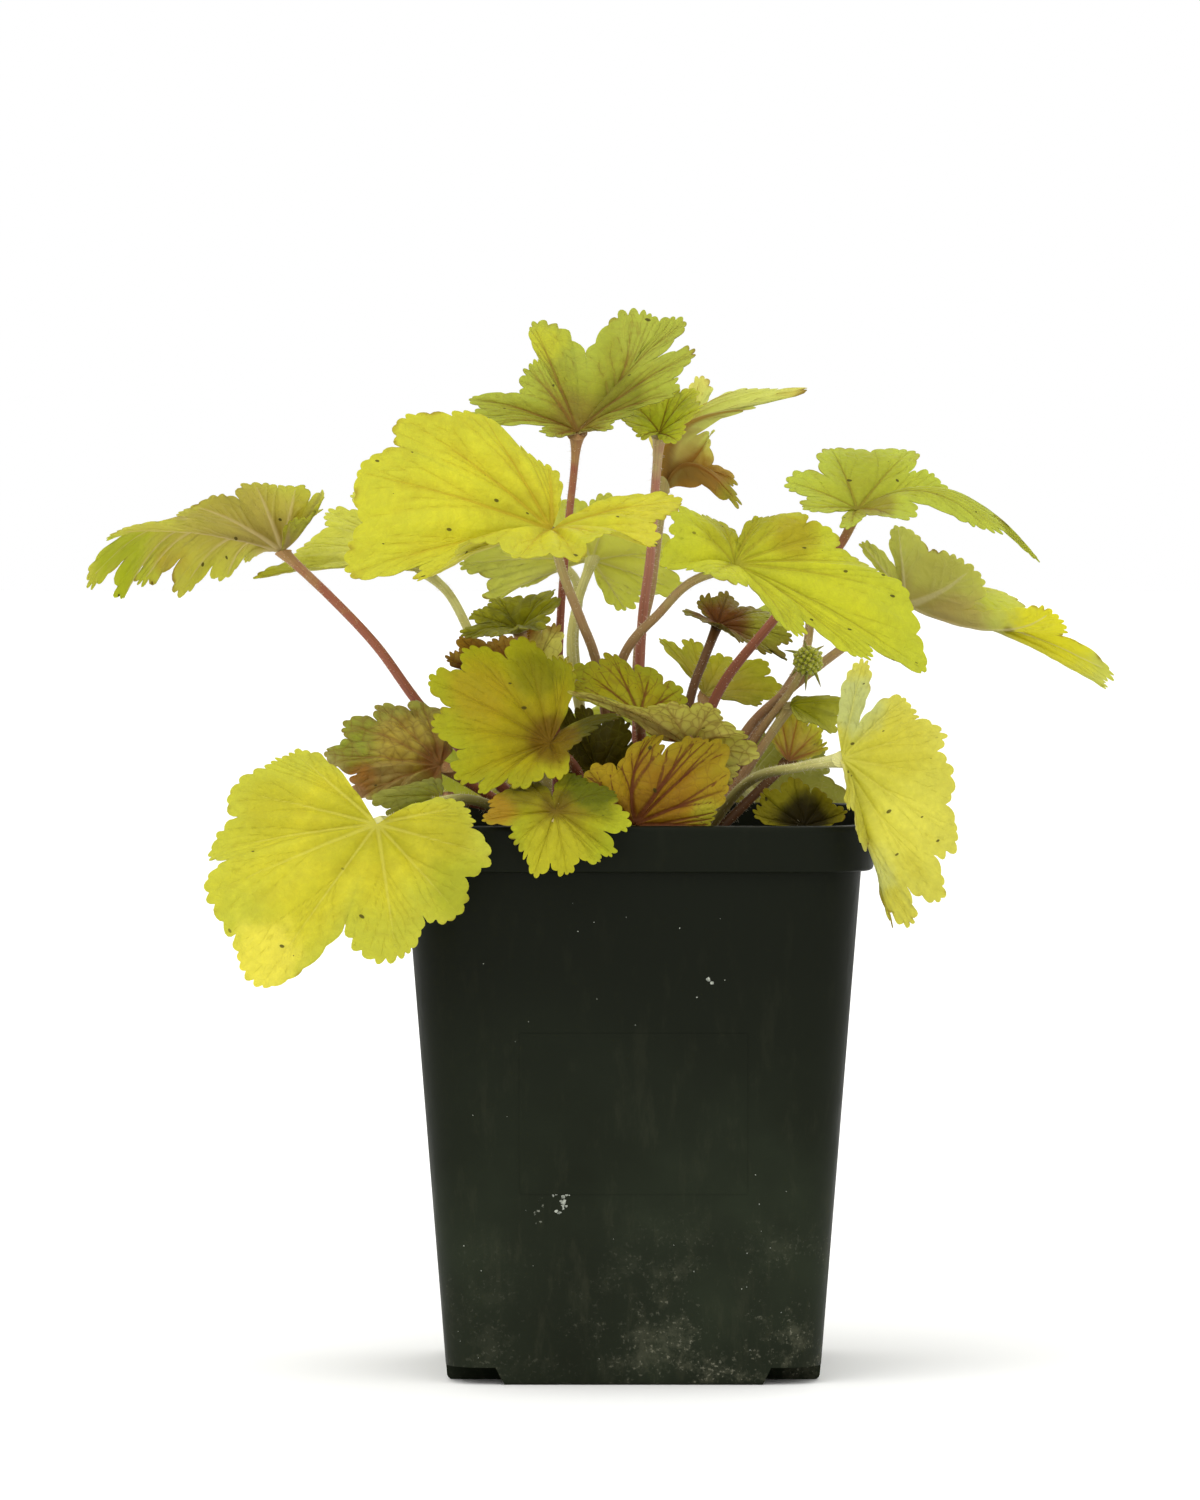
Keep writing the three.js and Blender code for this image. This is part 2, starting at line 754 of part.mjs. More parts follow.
    veins: [
      [5, 9, 21.8],
      [14.3, 4, 13.4],
      [22.3, -2, 6.6],
      [24.8, -6, -4],
      [25.8, -8, -17.7],
      [22.4, -8, -31],
      [15.4, -4, -37],
      [11, 2, -37],
      [3.6, -8, -17],
      [1, -8, -10],
    ],
    size: 28,
    cut: [0.78, 0.12, 0.1, 0.08, 0.15, 0.2, 0.2, 0.4, 0.2],
    base: [12, -8, 118],
    via: [[26, -26, 137], [38, -44, 141.5]],
    seed: 10,
  },
  {
    name: "middle_left",
    color: "#b3a924",
    at: [-19, -42, 146.6],
    veins: [
      [15.5, 6, 6.5],
      [7.5, -5, 1.5],
      [3.5, -11, -6.2],
      [-6.5, -13, -9.3],
      [-15.3, -11, -10.6],
      [-21, -8, -7.5],
      [-26.5, -3, 4],
      [-27.5, 3, 14.5],
      [-18.6, 8, 21.5],
      [-6.5, 11, 23.5],
      [4, 11, 18],
    ],
    size: 22,
    base: [-8, -10, 118],
    via: [[-13, -30, 140]],
    seed: 11,
  },
  {
    name: "middle_right",
    color: "#a3983e",
    at: [12.9, -38, 146.4],
    veins: [
      [9, -4, -8.7],
      [15.3, -2, -2.5],
      [11.4, -6, 3.2],
      [5, -10, 8.7],
      [-5.7, -12, 9.6],
      [-18.2, -10, 10.3],
      [-27.6, -8, 11.9],
      [-11.4, -4, 4.6],
    ],
    size: 18,
    base: [4, -10, 118],
    via: [[9, -37, 135]],
    seed: 12,
  },
  {
    name: "middle_back",
    color: "#8f8720",
    at: [1.4, -29, 152.4],
    veins: [
      [-16.3, 0, 5.7],
      [-14.7, 4, 11.5],
      [-6.4, 5, 13.5],
      [2.8, 5, 11],
      [9.4, 3, 5.7],
      [13, 0, 0],
    ],
    size: 15,
    base: [2, -4, 118],
    via: [[2, -14, 142]],
    seed: 13,
  },
  {
    name: "amber",
    color: "#b5851c",
    at: [0.3, -45.5, 128.3],
    veins: [
      [-9, 1, 4.5],
      [-10.6, -2, 12.5],
      [3.6, 3, 20.2],
      [13.5, 3, 19.4],
      [20.5, 2, 18.6],
      [21, -2, 8],
      [16.8, -4, -0.2],
    ],
    size: 20,
    cut: [0.12, 0.3, 0.24, 0.04, 0.03, 0.03],
    bows: { 2: [-2.5, 0, 0.5] },
    base: [0, -10, 118],
    seed: 14,
  },
  {
    name: "front",
    color: "#a9a323",
    at: [-17.6, -59, 131.9],
    veins: [
      [3.6, 12, 7.2],
      [12.7, 7, 5],
      [16.4, -2, -2.8],
      [12.8, -5, -9],
      [9.2, -6, -11.2],
      [2.6, -7, -13.4],
      [-4.8, -6, -14],
      [-8.9, -4, -6.5],
      [-15.8, 1, -2.4],
      [-14.5, 4, 3.4],
      [-7.3, 11, 6.2],
    ],
    size: 13,
    pitch: 4,
    cut: [0.2, 0.15, 0.28, 0.1, 0.26, 0.2, 0.06, 0.4, 0.15, 0.15],
    base: [-6, -11, 118],
    via: [[-14, -42, 134]],
    seed: 15,
  },
  {
    name: "left_low",
    color: "#897d40",
    at: [-44.5, -16, 140.5],
    veins: [
      [-3.5, -6, -7.4],
      [-18.4, -4, -6.9],
      [-26.2, 0, 1.8],
      [-21.9, 6, 9.5],
      [-13.8, 10, 12.8],
      [-4.6, 12, 14.6],
      [2.3, 12, 8.7],
    ],
    size: 20,
    base: [-10, -4, 118],
    via: [[-28, -10, 130]],
    seed: 16,
  },
  {
    name: "left_curl",
    color: "#7f8330",
    at: [-44, -30, 134],
    veins: [
      [-6, -4, -4],
      [-11, -2, -5],
      [-15.5, 0, -1],
      [-9, 4, 3],
      [-2, 6, 3],
    ],
    size: 12,
    pitch: 4,
    base: [-12, -6, 118],
    via: [[-30, -20, 130]],
    seed: 17,
  },
  {
    name: "small_dark",
    color: "#6f7420",
    at: [-26.3, -14, 171.3],
    veins: [
      [-11, 5, 4],
      [-4.6, 8, 7],
      [7, 5, 9.6],
      [9.6, -2, 6.4],
      [4.6, -10, 1.4],
      [-4.6, -10, -1],
      [-13, -2, 0],
    ],
    size: 11,
    pitch: 4,
    base: [-8, -4, 118],
    via: [[-21, -15, 150]],
    seed: 18,
  },
  {
    name: "brown",
    color: "#80501a",
    at: [-26.8, -6, 157],
    veins: [
      [-16.3, 0, 8],
      [-13.4, 2, 12],
      [-3.5, 5, 12.7],
      [3.5, 3, 15.7],
      [9.7, 2, 15],
      [12.8, 0, 4.6],
    ],
    size: 15,
    pitch: 4,
    base: [-8, 2, 118],
    seed: 19,
  },
  {
    name: "pale_back",
    color: "#b4b455",
    at: [-9.8, 38, 186.4],
    veins: [
      [7.8, 8, -11.8],
      [21, 8, -8],
      [21.4, 4, 2.4],
      [5.4, -8, 14.6],
      [-7.5, -8, 14.6],
      [-26.8, -2, 6.6],
      [-30.8, 4, -1],
      [-24, 8, -10],
      [-14.6, 8, -5.6],
    ],
    size: 22,
    cut: 0.25,
    base: [-4, 10, 118],
    via: [[-14.5, 22, 164], [-13, 32, 177]],
    seed: 20,
  },
  {
    name: "left_back",
    color: "#babc3d",
    at: [-48.9, 30, 184],
    veins: [
      [3, -12, 2],
      [-7, -16, 1.5],
      [-21.5, -14, 2],
      [-39, -10, -2],
      [-28, 2, 7],
      [-22.7, 14, 12.7],
      [-16.5, 22, 19],
      [1, 24, 20],
      [12, 13, 14],
    ],
    size: 28,
    cut: [0.3, 0.3, 0.4, 0.12, 0.1, 0.3, 0.3, 0.2],
    base: [-10, 10, 118],
    via: [[-33.5, 18, 158], [-38.5, 24, 170], [-43.5, 28, 179]],
    seed: 21,
  },
  {
    name: "dark_red",
    color: "#5a3812",
    at: [19.5, 20, 171.5],
    veins: [
      [-4, 6, 6],
      [2.6, 8, 7.2],
      [11, 7, 3.3],
      [17, 3, -2.8],
      [16, -2, -7.9],
      [10.5, -6, -6],
      [4.2, -7, -2.5],
      [-2, -6, 1],
      [-7.7, -3, 3.5],
    ],
    size: 12,
    pitch: 4,
    cut: 0.32,
    base: [7, 4, 118],
    via: [[13.5, 12, 156], [16.5, 16, 164]],
    seed: 22,
  },
  {
    name: "right_back",
    color: "#8e9038",
    at: [16.8, 34, 155],
    veins: [
      [-10.3, 6, 13],
      [-3.5, 8, 12],
      [4.7, 8, 8.7],
      [14, 6, 7.5],
      [18.3, 0, 0.5],
      [11.7, -6, -2.8],
    ],
    size: 14,
    cut: [0.35, 0.5, 0.25, 0.2, 0.2],
    base: [6, 12, 118],
    seed: 23,
  },
  {
    name: "right_small",
    color: "#7a8020",
    at: [36.4, 6, 153.6],
    veins: [
      [5.8, 6, 2],
      [13, -2, 0],
      [9.8, -6, -6],
      [3, -7, -4],
    ],
    size: 10,
    pitch: 4,
    base: [12, 0, 118],
    seed: 24,
  },
  {
    name: "right_upright",
    color: "#8b7f3e",
    at: [36, 10, 140.3],
    veins: [
      [-4, -1, 6],
      [-2.3, 0, 13],
      [2.8, 1, 12.6],
      [7.7, 0, 7.7],
      [8.4, -1, 3],
    ],
    size: 11,
    pitch: 4,
    base: [13, 4, 118],
    seed: 25,
  },
  {
    name: "right_hood",
    color: "#5f5b1d",
    at: [39, -36, 127.5],
    veins: [
      [-10.5, -4, 3],
      [-10, -2, 8],
      [-2.3, 0, 10.5],
      [5, -1, 8],
      [8.5, -4, 3.5],
    ],
    size: 10,
    pitch: 4,
    arch: -0.1,
    base: [12, -4, 118],
    seed: 26,
  },
  {
    name: "inner",
    color: "#4f4e18",
    at: [-8, -20, 138],
    veins: [
      [-9, -2, 3],
      [-9, 0, 16],
      [-3, 0, 16],
      [6, -8, 13],
      [10, -5, 5],
    ],
    size: 10,
    pitch: 5,
    base: [-2, -6, 118],
    seed: 27,
  },
  {
    name: "back_left",
    at: [-31, 63, 132],
    tip: [-0.4, 0.35, -0.9],
    face: [-0.1, 1, 0.3],
    size: 30,
    base: [-10, 12, 118],
    via: [[-24, 42, 137]],
    seed: 28,
  },
  {
    name: "back_right",
    at: [27, 64, 131],
    tip: [0.5, 0.3, -0.8],
    face: [0.1, 1, 0.2],
    size: 27,
    base: [8, 14, 118],
    via: [[20, 42, 135]],
    seed: 29,
  },
  {
    name: "back_middle",
    at: [-4, 45, 151],
    tip: [0.1, 1, 0.15],
    face: [0, -0.1, 1],
    size: 24,
    droop: 20,
    base: [-2, 14, 118],
    via: [[-2, 34, 134]],
    seed: 30,
  },
  {
    name: "high_left",
    at: [-40, 56, 196],
    tip: [-0.5, 0.9, -0.1],
    face: [-0.2, 0.3, 1],
    size: 27,
    base: [-8, 8, 118],
    via: [[-14, 30, 166], [-14, 45, 182], [-26, 53, 189]],
    seed: 31,
  },
  {
    name: "high_right",
    at: [42, 46, 178],
    tip: [0.3, 0.9, 0],
    face: [0.1, 0.3, 1],
    size: 26,
    droop: 18,
    base: [10, 8, 118],
    via: [[31, 18, 150], [40, 32, 164]],
    seed: 32,
  },
];

const BUD = {
  at: [40.5, 4, 164],
  radius: 3.4,
  stalk: [
    [13, 3, 118],
    [28.5, 6, 146],
    [36.5, 5, 157],
  ],
  // the tips of its thin bracts, measured from the middle of the bud
  bracts: [
    [-5.6, 0, 2.4],
    [-0.6, -1, -7],
    [3, -1, -6.2],
    [3.8, 1, 3.4],
    [-1, -3, 5],
    [-4, 2, -4],
  ],
  seed: 40,
};

function grow(entry) {
  const leaf = { ...DEFAULTS, ...entry };
  leaf.origin = vec(leaf.at);
  growVeins(leaf);
  return leaf;
}

// ---------------------------------------------------------------- the plant

const plant = new THREE.Group();

function addNode(name, geometry, color, roughness) {
  const material = new THREE.MeshStandardMaterial({ color, roughness, metalness: 0 });
  const mesh = new THREE.Mesh(geometry, material);
  mesh.name = name;
  plant.add(mesh);
}

const leaves = LEAVES.map(grow);
addNode("pot", makePot(), "#23271f", 0.6);
addNode("soil", makeSoil(), "#2a1d12", 1);
addNode("crown_and_petioles", makeStems(leaves), "#9a5b3a", 0.6);
for (const leaf of leaves) {
  addNode(`blade_${leaf.name}`, makeBlade(leaf), leaf.color, 0.55);
}
addNode("bud", makeBud(), "#8f9a2a", 0.8);

export default plant;
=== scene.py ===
"""The looks of a potted heuchera: lime-yellow leaves on hairy stalks in a square nursery pot.

Lengths in this script are millimetres, which solid_mesh turns into Blender's metres. Only the floor,
the lights and the camera are given in metres. The leaves, the stalks and the pot have the same
driving values and formulas as the CAD solids that they replace, with finer steps, and with veins,
teeth, hairs and surface detail added.
"""

import math

import bpy
import numpy as np
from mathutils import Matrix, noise


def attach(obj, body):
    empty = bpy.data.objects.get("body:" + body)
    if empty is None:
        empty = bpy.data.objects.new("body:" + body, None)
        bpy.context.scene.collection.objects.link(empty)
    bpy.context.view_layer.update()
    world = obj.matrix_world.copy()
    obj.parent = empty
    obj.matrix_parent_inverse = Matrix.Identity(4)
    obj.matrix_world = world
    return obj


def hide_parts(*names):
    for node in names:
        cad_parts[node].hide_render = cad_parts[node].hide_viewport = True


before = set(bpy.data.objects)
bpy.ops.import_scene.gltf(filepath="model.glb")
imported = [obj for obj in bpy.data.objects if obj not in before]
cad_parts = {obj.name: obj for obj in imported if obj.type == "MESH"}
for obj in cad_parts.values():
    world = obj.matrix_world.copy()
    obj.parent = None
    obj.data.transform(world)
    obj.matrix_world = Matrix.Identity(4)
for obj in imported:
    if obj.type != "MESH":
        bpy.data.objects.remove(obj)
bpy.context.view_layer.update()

MM = 0.001

# ---------------------------------------------------------------- sizes of the pot and the soil

POT_HEIGHT = 128.5
POT_RIM_WIDTH = 110
POT_TOP_WIDTH = 104
POT_BASE_WIDTH = 85.4
POT_RIM_BAND = 10.5
POT_WALL = 1.3
POT_FLOOR = 1.6
POT_TOP_CORNER = 13
POT_BASE_CORNER = 9
FOOT_HEIGHT = 4
FOOT_HALF_WIDTH = 31.5
FOOT_LEAN = 2.5
DRAIN_RADIUS = 3.2
DRAIN_PLACE = 35.2
DRAIN_SIDES = 32
CORNER_STEPS = 12

SOIL_TOP = 114
SOIL_BUMP = 1.6
SOIL_GAP = 0.3
HOLE_RADIUS = 21
HOLE_DEPTH = 9
CROWN_TOP = 122

# ---------------------------------------------------------------- sizes of the leaves

BLADE = 0.42  # thickness of a blade near its petiole
BLADE_EDGE = 0.2  # and at its edge
FAN_LENGTHS = (0.6, 0.8, 0.94, 1, 0.94, 0.8, 0.6)
TOOTH_STEPS = 5  # points along one tooth
TOOTH_SHARE = 0.77  # the width of a tooth, as a share of the CAD's
RING_STEP = 1.25  # distance between the rings of points in a blade
FINER = ((20, 1.5), (28, 1.25))  # blades up to a size have this many times as many points along them
VEIN_WIDE = 0.5  # half the width of a main vein at the petiole of a 40 mm leaf
VEIN_REACH = 14  # distances to a vein are stored up to this many half-widths

DEFAULTS = dict(
    size=30, cut=0.2, round=2.2, sinus=0.14, pitch=5.5, tooth=1.1, arch=0.06, bows={}, puff=0.04,
    ruffle=0.8, waves=3.1, spread=138, droop=12, stalk=1.1, via=[], veins=None, quilt=0.45,
    crinkle=0.35, slot="leaf_lime", petiole="red", flare=(0.6, 2.2), relief=1, bold=1,
)

# at: where the petiole meets the blade. veins: the tip of each main vein, measured from there, from
# the leaf's left to its right as seen from above with its tip ahead. cut: depth of the notches
# between the lobes, one value or one for each notch. arch: how far the veins bow upwards. bows: the
# extra bow of single veins. A regular leaf has tip, face, spread and droop in place of veins: the
# way that its midrib points, the way it faces, the angle of its outer veins and how far they all
# hang below the leaf's plane. base and via: the petiole's foot and the points that it passes.
# slot: the record's material slot. petiole: the kind of stalk. bold: how wide the veins are. relief:
# how much the blade is quilted and crinkled between its veins. flare: how much wider the petiole is
# where it meets the blade, and the reach of that.
LEAVES = dict(
    front_left=dict(
        at=(-58, -62, 129.3), base=(-12, -10, 118), via=[(-38, -42, 134)],
        veins=[
            (20, 4, 4), (25.5, -2, -7), (18.5, -4, -20), (4.5, -8, -30), (-26, -10, -36),
            (-38, -2, -16), (-38, 6, -6), (-33, 12, 7), (-19.5, 14, 16),
        ],
        cut=[0.1, 0.14, 0.2, 0.38, 0.06, 0.15, 0.13, 0.04], arch=0.02, size=40, seed=1,
        slot="leaf_yellow", petiole="pale",
    ),
    far_left=dict(
        at=(-81.6, 12, 189), base=(-12, 2, 118),
        via=[(-47, 4, 150.5), (-60, 8, 167.5), (-70.5, 10, 178.5)],
        veins=[
            (1.8, -10, 7), (9.8, -16, 12.6), (3.5, -16.5, 15.6), (-5.8, -17, 16),
            (-19.8, -17, 11.2), (-37.6, -12, 5), (-45.3, 0, -6.8), (-37.8, 10, -10.8),
            (-33.2, 13, -7.4), (-24.4, 18, -10.2), (-14, 20, -6.6), (-7, 16, -1), (7.5, 13, 9),
        ],
        cut=[0.3, 0.35, 0.12, 0.3, 0.42, 0.3, 0.16, 0.26, 0.2, 0.14, 0.2, 0.6], round=3.2, arch=0.08, size=38,
        bows={6: (-1, 0, 8.5), 7: (-2, 0, 9), 8: (-1, 0, 7), 9: (0, 0, 6), 10: (0, 0, 4)}, seed=2,
        bold=1.3, relief=0.45,
    ),
    upper_left=dict(
        at=(-18.8, -30, 195), base=(-2, -8, 118),
        via=[(-8.5, -16, 164), (-12, -22, 174), (-16, -27, 184.5)],
        veins=[
            (29.5, 8, 6), (23, -8, -3), (12, -16, -1), (6, -21, -6), (-7, -21, -6),
            (-18.6, -14, -2), (-28, -18, -11), (-46, -10, -9.5), (-44, 0, 13), (-34, 8, 26),
            (-16, 10, 25.5), (-0.5, 8, 14.5),
        ],
        cut=[0.2, 0.15, 0.1, 0.04, 0.1, 0.1, 0.3, 0.08, 0.14, 0.08, 0.08, 0.08], size=40, seed=3,
        slot="leaf_yellow", petiole="tan",
    ),
    top=dict(
        at=(-13.1, -2, 217), base=(-18, 0, 118),
        via=[(-17, 0, 173), (-15, -2, 197), (-13.8, -2, 208)],
        veins=[
            (-6.2, -8, -1.2), (-18.3, -8, 2.6), (-24, -5, 3.6), (-24.3, 0, 8.5), (-11.3, 6, 14.2),
            (-10.3, 18, 25.4), (12, 14, 27.2), (24.8, 14, 26), (27, 5, 17.7), (22, -2, 9),
            (11.4, -6, 3), (7.2, -9, 1),
        ],
        cut=[0.45, 0.12, 0.2, 0.35, 0.3, 0.38, 0.06, 0.34, 0.12, 0.3, 0.1], size=26, stalk=0.9,
        bows={6: (4, 0, -3)}, seed=4,
        bold=1.2, flare=(1.8, 2.2),
    ),
    top_front=dict(
        at=(6, 8, 216.5), base=(0, 2, 118), via=[(2, 8, 173), (3.8, 8, 187), (5, 8, 203.5)],
        veins=[
            (-4, -7, 0), (-8.5, -5, 2.5), (-6, 3, 7), (3, 8, 10), (8.5, 5, 10.5), (9.5, -3, 5),
            (4, -8, -1),
        ],
        size=12, pitch=4, seed=5,
        petiole="pink", bold=1.3, flare=(0.9, 2.2),
    ),
    top_back=dict(
        at=(7.1, 20, 203), base=(3, 7, 118), via=[(1, 12, 165), (4, 16, 180), (5.5, 18, 191.5)],
        veins=[
            (17, -6, -3), (16.5, -2, 3), (11, 4, 12), (20.2, 6, 18.9), (33.5, 8, 23.3),
            (19.8, 10, 24.2), (9, 20, 26), (-2, 22, 20),
        ],
        cut=[0.2, 0.2, 0.3, 0.03, 0.03, 0.3, 0.3], size=24,
        bows={0: (-2, 0, 8), 1: (0, 0, 3), 3: (-7, 0, 4), 4: (-11, 0, 4), 5: (-7, 0, 4)}, seed=6,
        slot="leaf_olive", petiole="tan", relief=0.6,
    ),
    right=dict(
        at=(23.1, -28, 187), base=(-6, -6, 118),
        via=[(-2.6, -16, 165), (6, -22, 176), (13, -26, 183)],
        veins=[
            (5.8, 12, 10.5), (14.4, 12, 11.7), (23, 10, 6.9), (30.5, 6, 0), (39.6, 2, -6.9),
            (43.5, -8, -24), (27.5, -12, -20.6), (12.6, -14, -14.2), (-5.3, -14, -2.3),
            (-16.5, -10, 0.5), (-13, -2, 12.4), (-3.4, 8, 10.3),
        ],
        cut=[0.12, 0.15, 0.15, 0.1, 0.03, 0.2, 0.3, 0.35, 0.12, 0.1, 0.15], size=32, seed=7,
        petiole="tan",
    ),
    upper_right=dict(
        at=(52, 12, 198.5), base=(11, 4, 118),
        via=[(18.5, 8, 154), (32, 10, 172.5), (48, 12, 190.5)],
        veins=[
            (-11.9, -8, 0.5), (-16, 2, 6.7), (-5.8, 16, 14), (12.8, 18, 13.7), (20.5, 10, 5.4),
            (41.6, -2, -11), (29.8, -12, -4), (9, -15, -1.2), (-1.6, -14, -3.5),
        ],
        cut=[0.35, 0.4, 0.12, 0.3, 0.38, 0.28, 0.4, 0.25], round=2.6, size=26,
        bows={5: (0, 0, 7.2), 6: (0, 0, 4.8)}, seed=8,
        bold=1.2, relief=0.5,
    ),
    far_right=dict(
        at=(63.2, 10, 176.8), base=(14, 6, 118), via=[(26, 8, 147), (35, 9, 156), (49, 10, 167)],
        veins=[
            (8, 24, 2), (24, 22, 2), (44.5, 5, -18.4), (47.6, 1, -15.2), (33.5, -7, -1.4),
            (15, -10, 9.2), (-2, -12, 18.1), (-10, -4, 14.5),
        ],
        cut=[0.2, 0.3, 0.05, 0.2, 0.58, 0.2, 0.75], size=34,
        bows={3: (0, 0, 0.5), 4: (3, 0, -6), 5: (1, 0, -1.5)}, seed=9,
        petiole="tan", bold=1.2, relief=0.4,
    ),
    low_right=dict(
        at=(47.3, -56, 143.8), base=(12, -8, 118), via=[(26, -26, 137), (38, -44, 141.5)],
        veins=[
            (5, 9, 21.8), (14.3, 4, 13.4), (22.3, -2, 6.6), (24.8, -6, -4), (25.8, -8, -17.7),
            (22.4, -8, -31), (15.4, -4, -37), (11, 2, -37), (3.6, -8, -17), (1, -8, -10),
        ],
        cut=[0.78, 0.12, 0.1, 0.08, 0.15, 0.2, 0.2, 0.4, 0.2], size=28, seed=10,
        slot="leaf_yellow", petiole="pale", relief=0.7, flare=(0.9, 4.5),
    ),
    middle_left=dict(
        at=(-19, -42, 146.6), base=(-8, -10, 118), via=[(-13, -30, 140)],
        veins=[
            (15.5, 6, 6.5), (7.5, -5, 1.5), (3.5, -11, -6.2), (-6.5, -13, -9.3),
            (-15.3, -11, -10.6), (-21, -8, -7.5), (-26.5, -3, 4), (-27.5, 3, 14.5),
            (-18.6, 8, 21.5), (-6.5, 11, 23.5), (4, 11, 18),
        ],
        size=22, seed=11,
        slot="leaf_olive", relief=0.6,
    ),
    middle_right=dict(
        at=(12.9, -38, 146.4), base=(4, -10, 118), via=[(9, -37, 135)],
        veins=[
            (9, -4, -8.7), (15.3, -2, -2.5), (11.4, -6, 3.2), (5, -10, 8.7), (-5.7, -12, 9.6),
            (-18.2, -10, 10.3), (-27.6, -8, 11.9), (-11.4, -4, 4.6),
        ],
        size=18, seed=12,
        slot="leaf_olive", bold=1.6,
    ),
    middle_back=dict(
        at=(1.4, -29, 152.4), base=(2, -4, 118), via=[(2, -14, 142)],
        veins=[
            (-16.3, 0, 5.7), (-14.7, 4, 11.5), (-6.4, 5, 13.5), (2.8, 5, 11), (9.4, 3, 5.7),
            (13, 0, 0),
        ],
        size=15, seed=13,
        slot="leaf_olive", bold=1.5,
    ),
    amber=dict(
        at=(0.3, -45.5, 128.3), base=(0, -10, 118),
        veins=[
            (-9, 1, 4.5), (-10.6, -2, 12.5), (3.6, 3, 20.2), (13.5, 3, 19.4), (20.5, 2, 18.6),
            (21, -2, 8), (16.8, -4, -0.2),
        ],
        cut=[0.12, 0.3, 0.24, 0.04, 0.03, 0.03], size=20, bows={2: (-2.5, 0, 0.5)}, seed=14,
        slot="leaf_amber", petiole="tan", bold=1.7,
    ),
    front=dict(
        at=(-17.6, -59, 131.9), base=(-6, -11, 118), via=[(-14, -42, 134)],
        veins=[
            (3.6, 12, 7.2), (12.7, 7, 5), (16.4, -2, -2.8), (12.8, -5, -9), (9.2, -6, -11.2),
            (2.6, -7, -13.4), (-4.8, -6, -14), (-8.9, -4, -6.5), (-15.8, 1, -2.4), (-14.5, 4, 3.4),
            (-7.3, 11, 6.2),
        ],
        cut=[0.2, 0.15, 0.28, 0.1, 0.26, 0.2, 0.06, 0.4, 0.15, 0.15], size=13, pitch=4, seed=15,
        slot="leaf_olive", petiole="tan", relief=0.6,
    ),
    left_low=dict(
        at=(-44.5, -16, 140.5), base=(-10, -4, 118), via=[(-28, -10, 130)],
        veins=[
            (-3.5, -6, -7.4), (-18.4, -4, -6.9), (-26.2, 0, 1.8), (-21.9, 6, 9.5),
            (-13.8, 10, 12.8), (-4.6, 12, 14.6), (2.3, 12, 8.7),
        ],
        size=20, seed=16,
        slot="leaf_olive", bold=1.5, relief=3.0,
    ),
    left_curl=dict(
        at=(-44, -30, 134), base=(-12, -6, 118), via=[(-30, -20, 130)],
        veins=[(-6, -4, -4), (-11, -2, -5), (-15.5, 0, -1), (-9, 4, 3), (-2, 6, 3)], size=12,
        pitch=4, seed=17,
        slot="leaf_olive",
    ),
    small_dark=dict(
        at=(-26.3, -14, 171.3), base=(-8, -4, 118), via=[(-21, -15, 150)],
        veins=[
            (-11, 5, 4), (-4.6, 8, 7), (7, 5, 9.6), (9.6, -2, 6.4), (4.6, -10, 1.4),
            (-4.6, -10, -1), (-13, -2, 0),
        ],
        size=11, pitch=4, seed=18,
        slot="leaf_olive", bold=1.3, relief=1.8,
    ),
    brown=dict(
        at=(-26.8, -6, 157), base=(-8, 2, 118),
        veins=[
            (-16.3, 0, 8), (-13.4, 2, 12), (-3.5, 5, 12.7), (3.5, 3, 15.7), (9.7, 2, 15),
            (12.8, 0, 4.6),
        ],
        size=15, pitch=4, seed=19,
        slot="leaf_amber", bold=1.3,
    ),
    pale_back=dict(
        at=(-9.8, 38, 186.4), base=(-4, 10, 118), via=[(-14.5, 22, 164), (-13, 32, 177)],
        veins=[
            (7.8, 8, -11.8), (21, 8, -8), (21.4, 4, 2.4), (5.4, -8, 14.6), (-7.5, -8, 14.6),
            (-26.8, -2, 6.6), (-30.8, 4, -1), (-24, 8, -10), (-14.6, 8, -5.6),
        ],
        cut=0.25, size=22, seed=20,
        petiole="pale",
    ),
    left_back=dict(
        at=(-48.9, 30, 184), base=(-10, 10, 118),
        via=[(-33.5, 18, 158), (-38.5, 24, 170), (-43.5, 28, 179)],
        veins=[
            (3, -12, 2), (-7, -16, 1.5), (-21.5, -14, 2), (-39, -10, -2), (-28, 2, 7),
            (-22.7, 14, 12.7), (-16.5, 22, 19), (1, 24, 20), (12, 13, 14),
        ],
        cut=[0.3, 0.3, 0.4, 0.12, 0.1, 0.3, 0.3, 0.2], size=28, seed=21,
        petiole="pale",
    ),
    dark_red=dict(
        at=(19.5, 20, 171.5), base=(7, 4, 118), via=[(13.5, 12, 156), (16.5, 16, 164)],
        veins=[
            (-4, 6, 6), (2.6, 8, 7.2), (11, 7, 3.3), (17, 3, -2.8), (16, -2, -7.9), (10.5, -6, -6),
            (4.2, -7, -2.5), (-2, -6, 1), (-7.7, -3, 3.5),
        ],
        cut=0.32, size=12, pitch=4, seed=22,
        slot="leaf_dark_red", petiole="dark", flare=(0.3, 2.2),
    ),
    right_back=dict(
        at=(16.8, 34, 155), base=(6, 12, 118),
        veins=[
            (-10.3, 6, 13), (-3.5, 8, 12), (4.7, 8, 8.7), (14, 6, 7.5), (18.3, 0, 0.5),
            (11.7, -6, -2.8),
        ],
        cut=[0.35, 0.5, 0.25, 0.2, 0.2], size=14, seed=23,
        slot="leaf_olive",
    ),
    right_small=dict(
        at=(36.4, 6, 153.6), base=(12, 0, 118),
        veins=[(5.8, 6, 2), (13, -2, 0), (9.8, -6, -6), (3, -7, -4)], size=10, pitch=4, seed=24,
        slot="leaf_olive", petiole="tan",
    ),
    right_upright=dict(
        at=(36, 10, 140.3), base=(13, 4, 118),
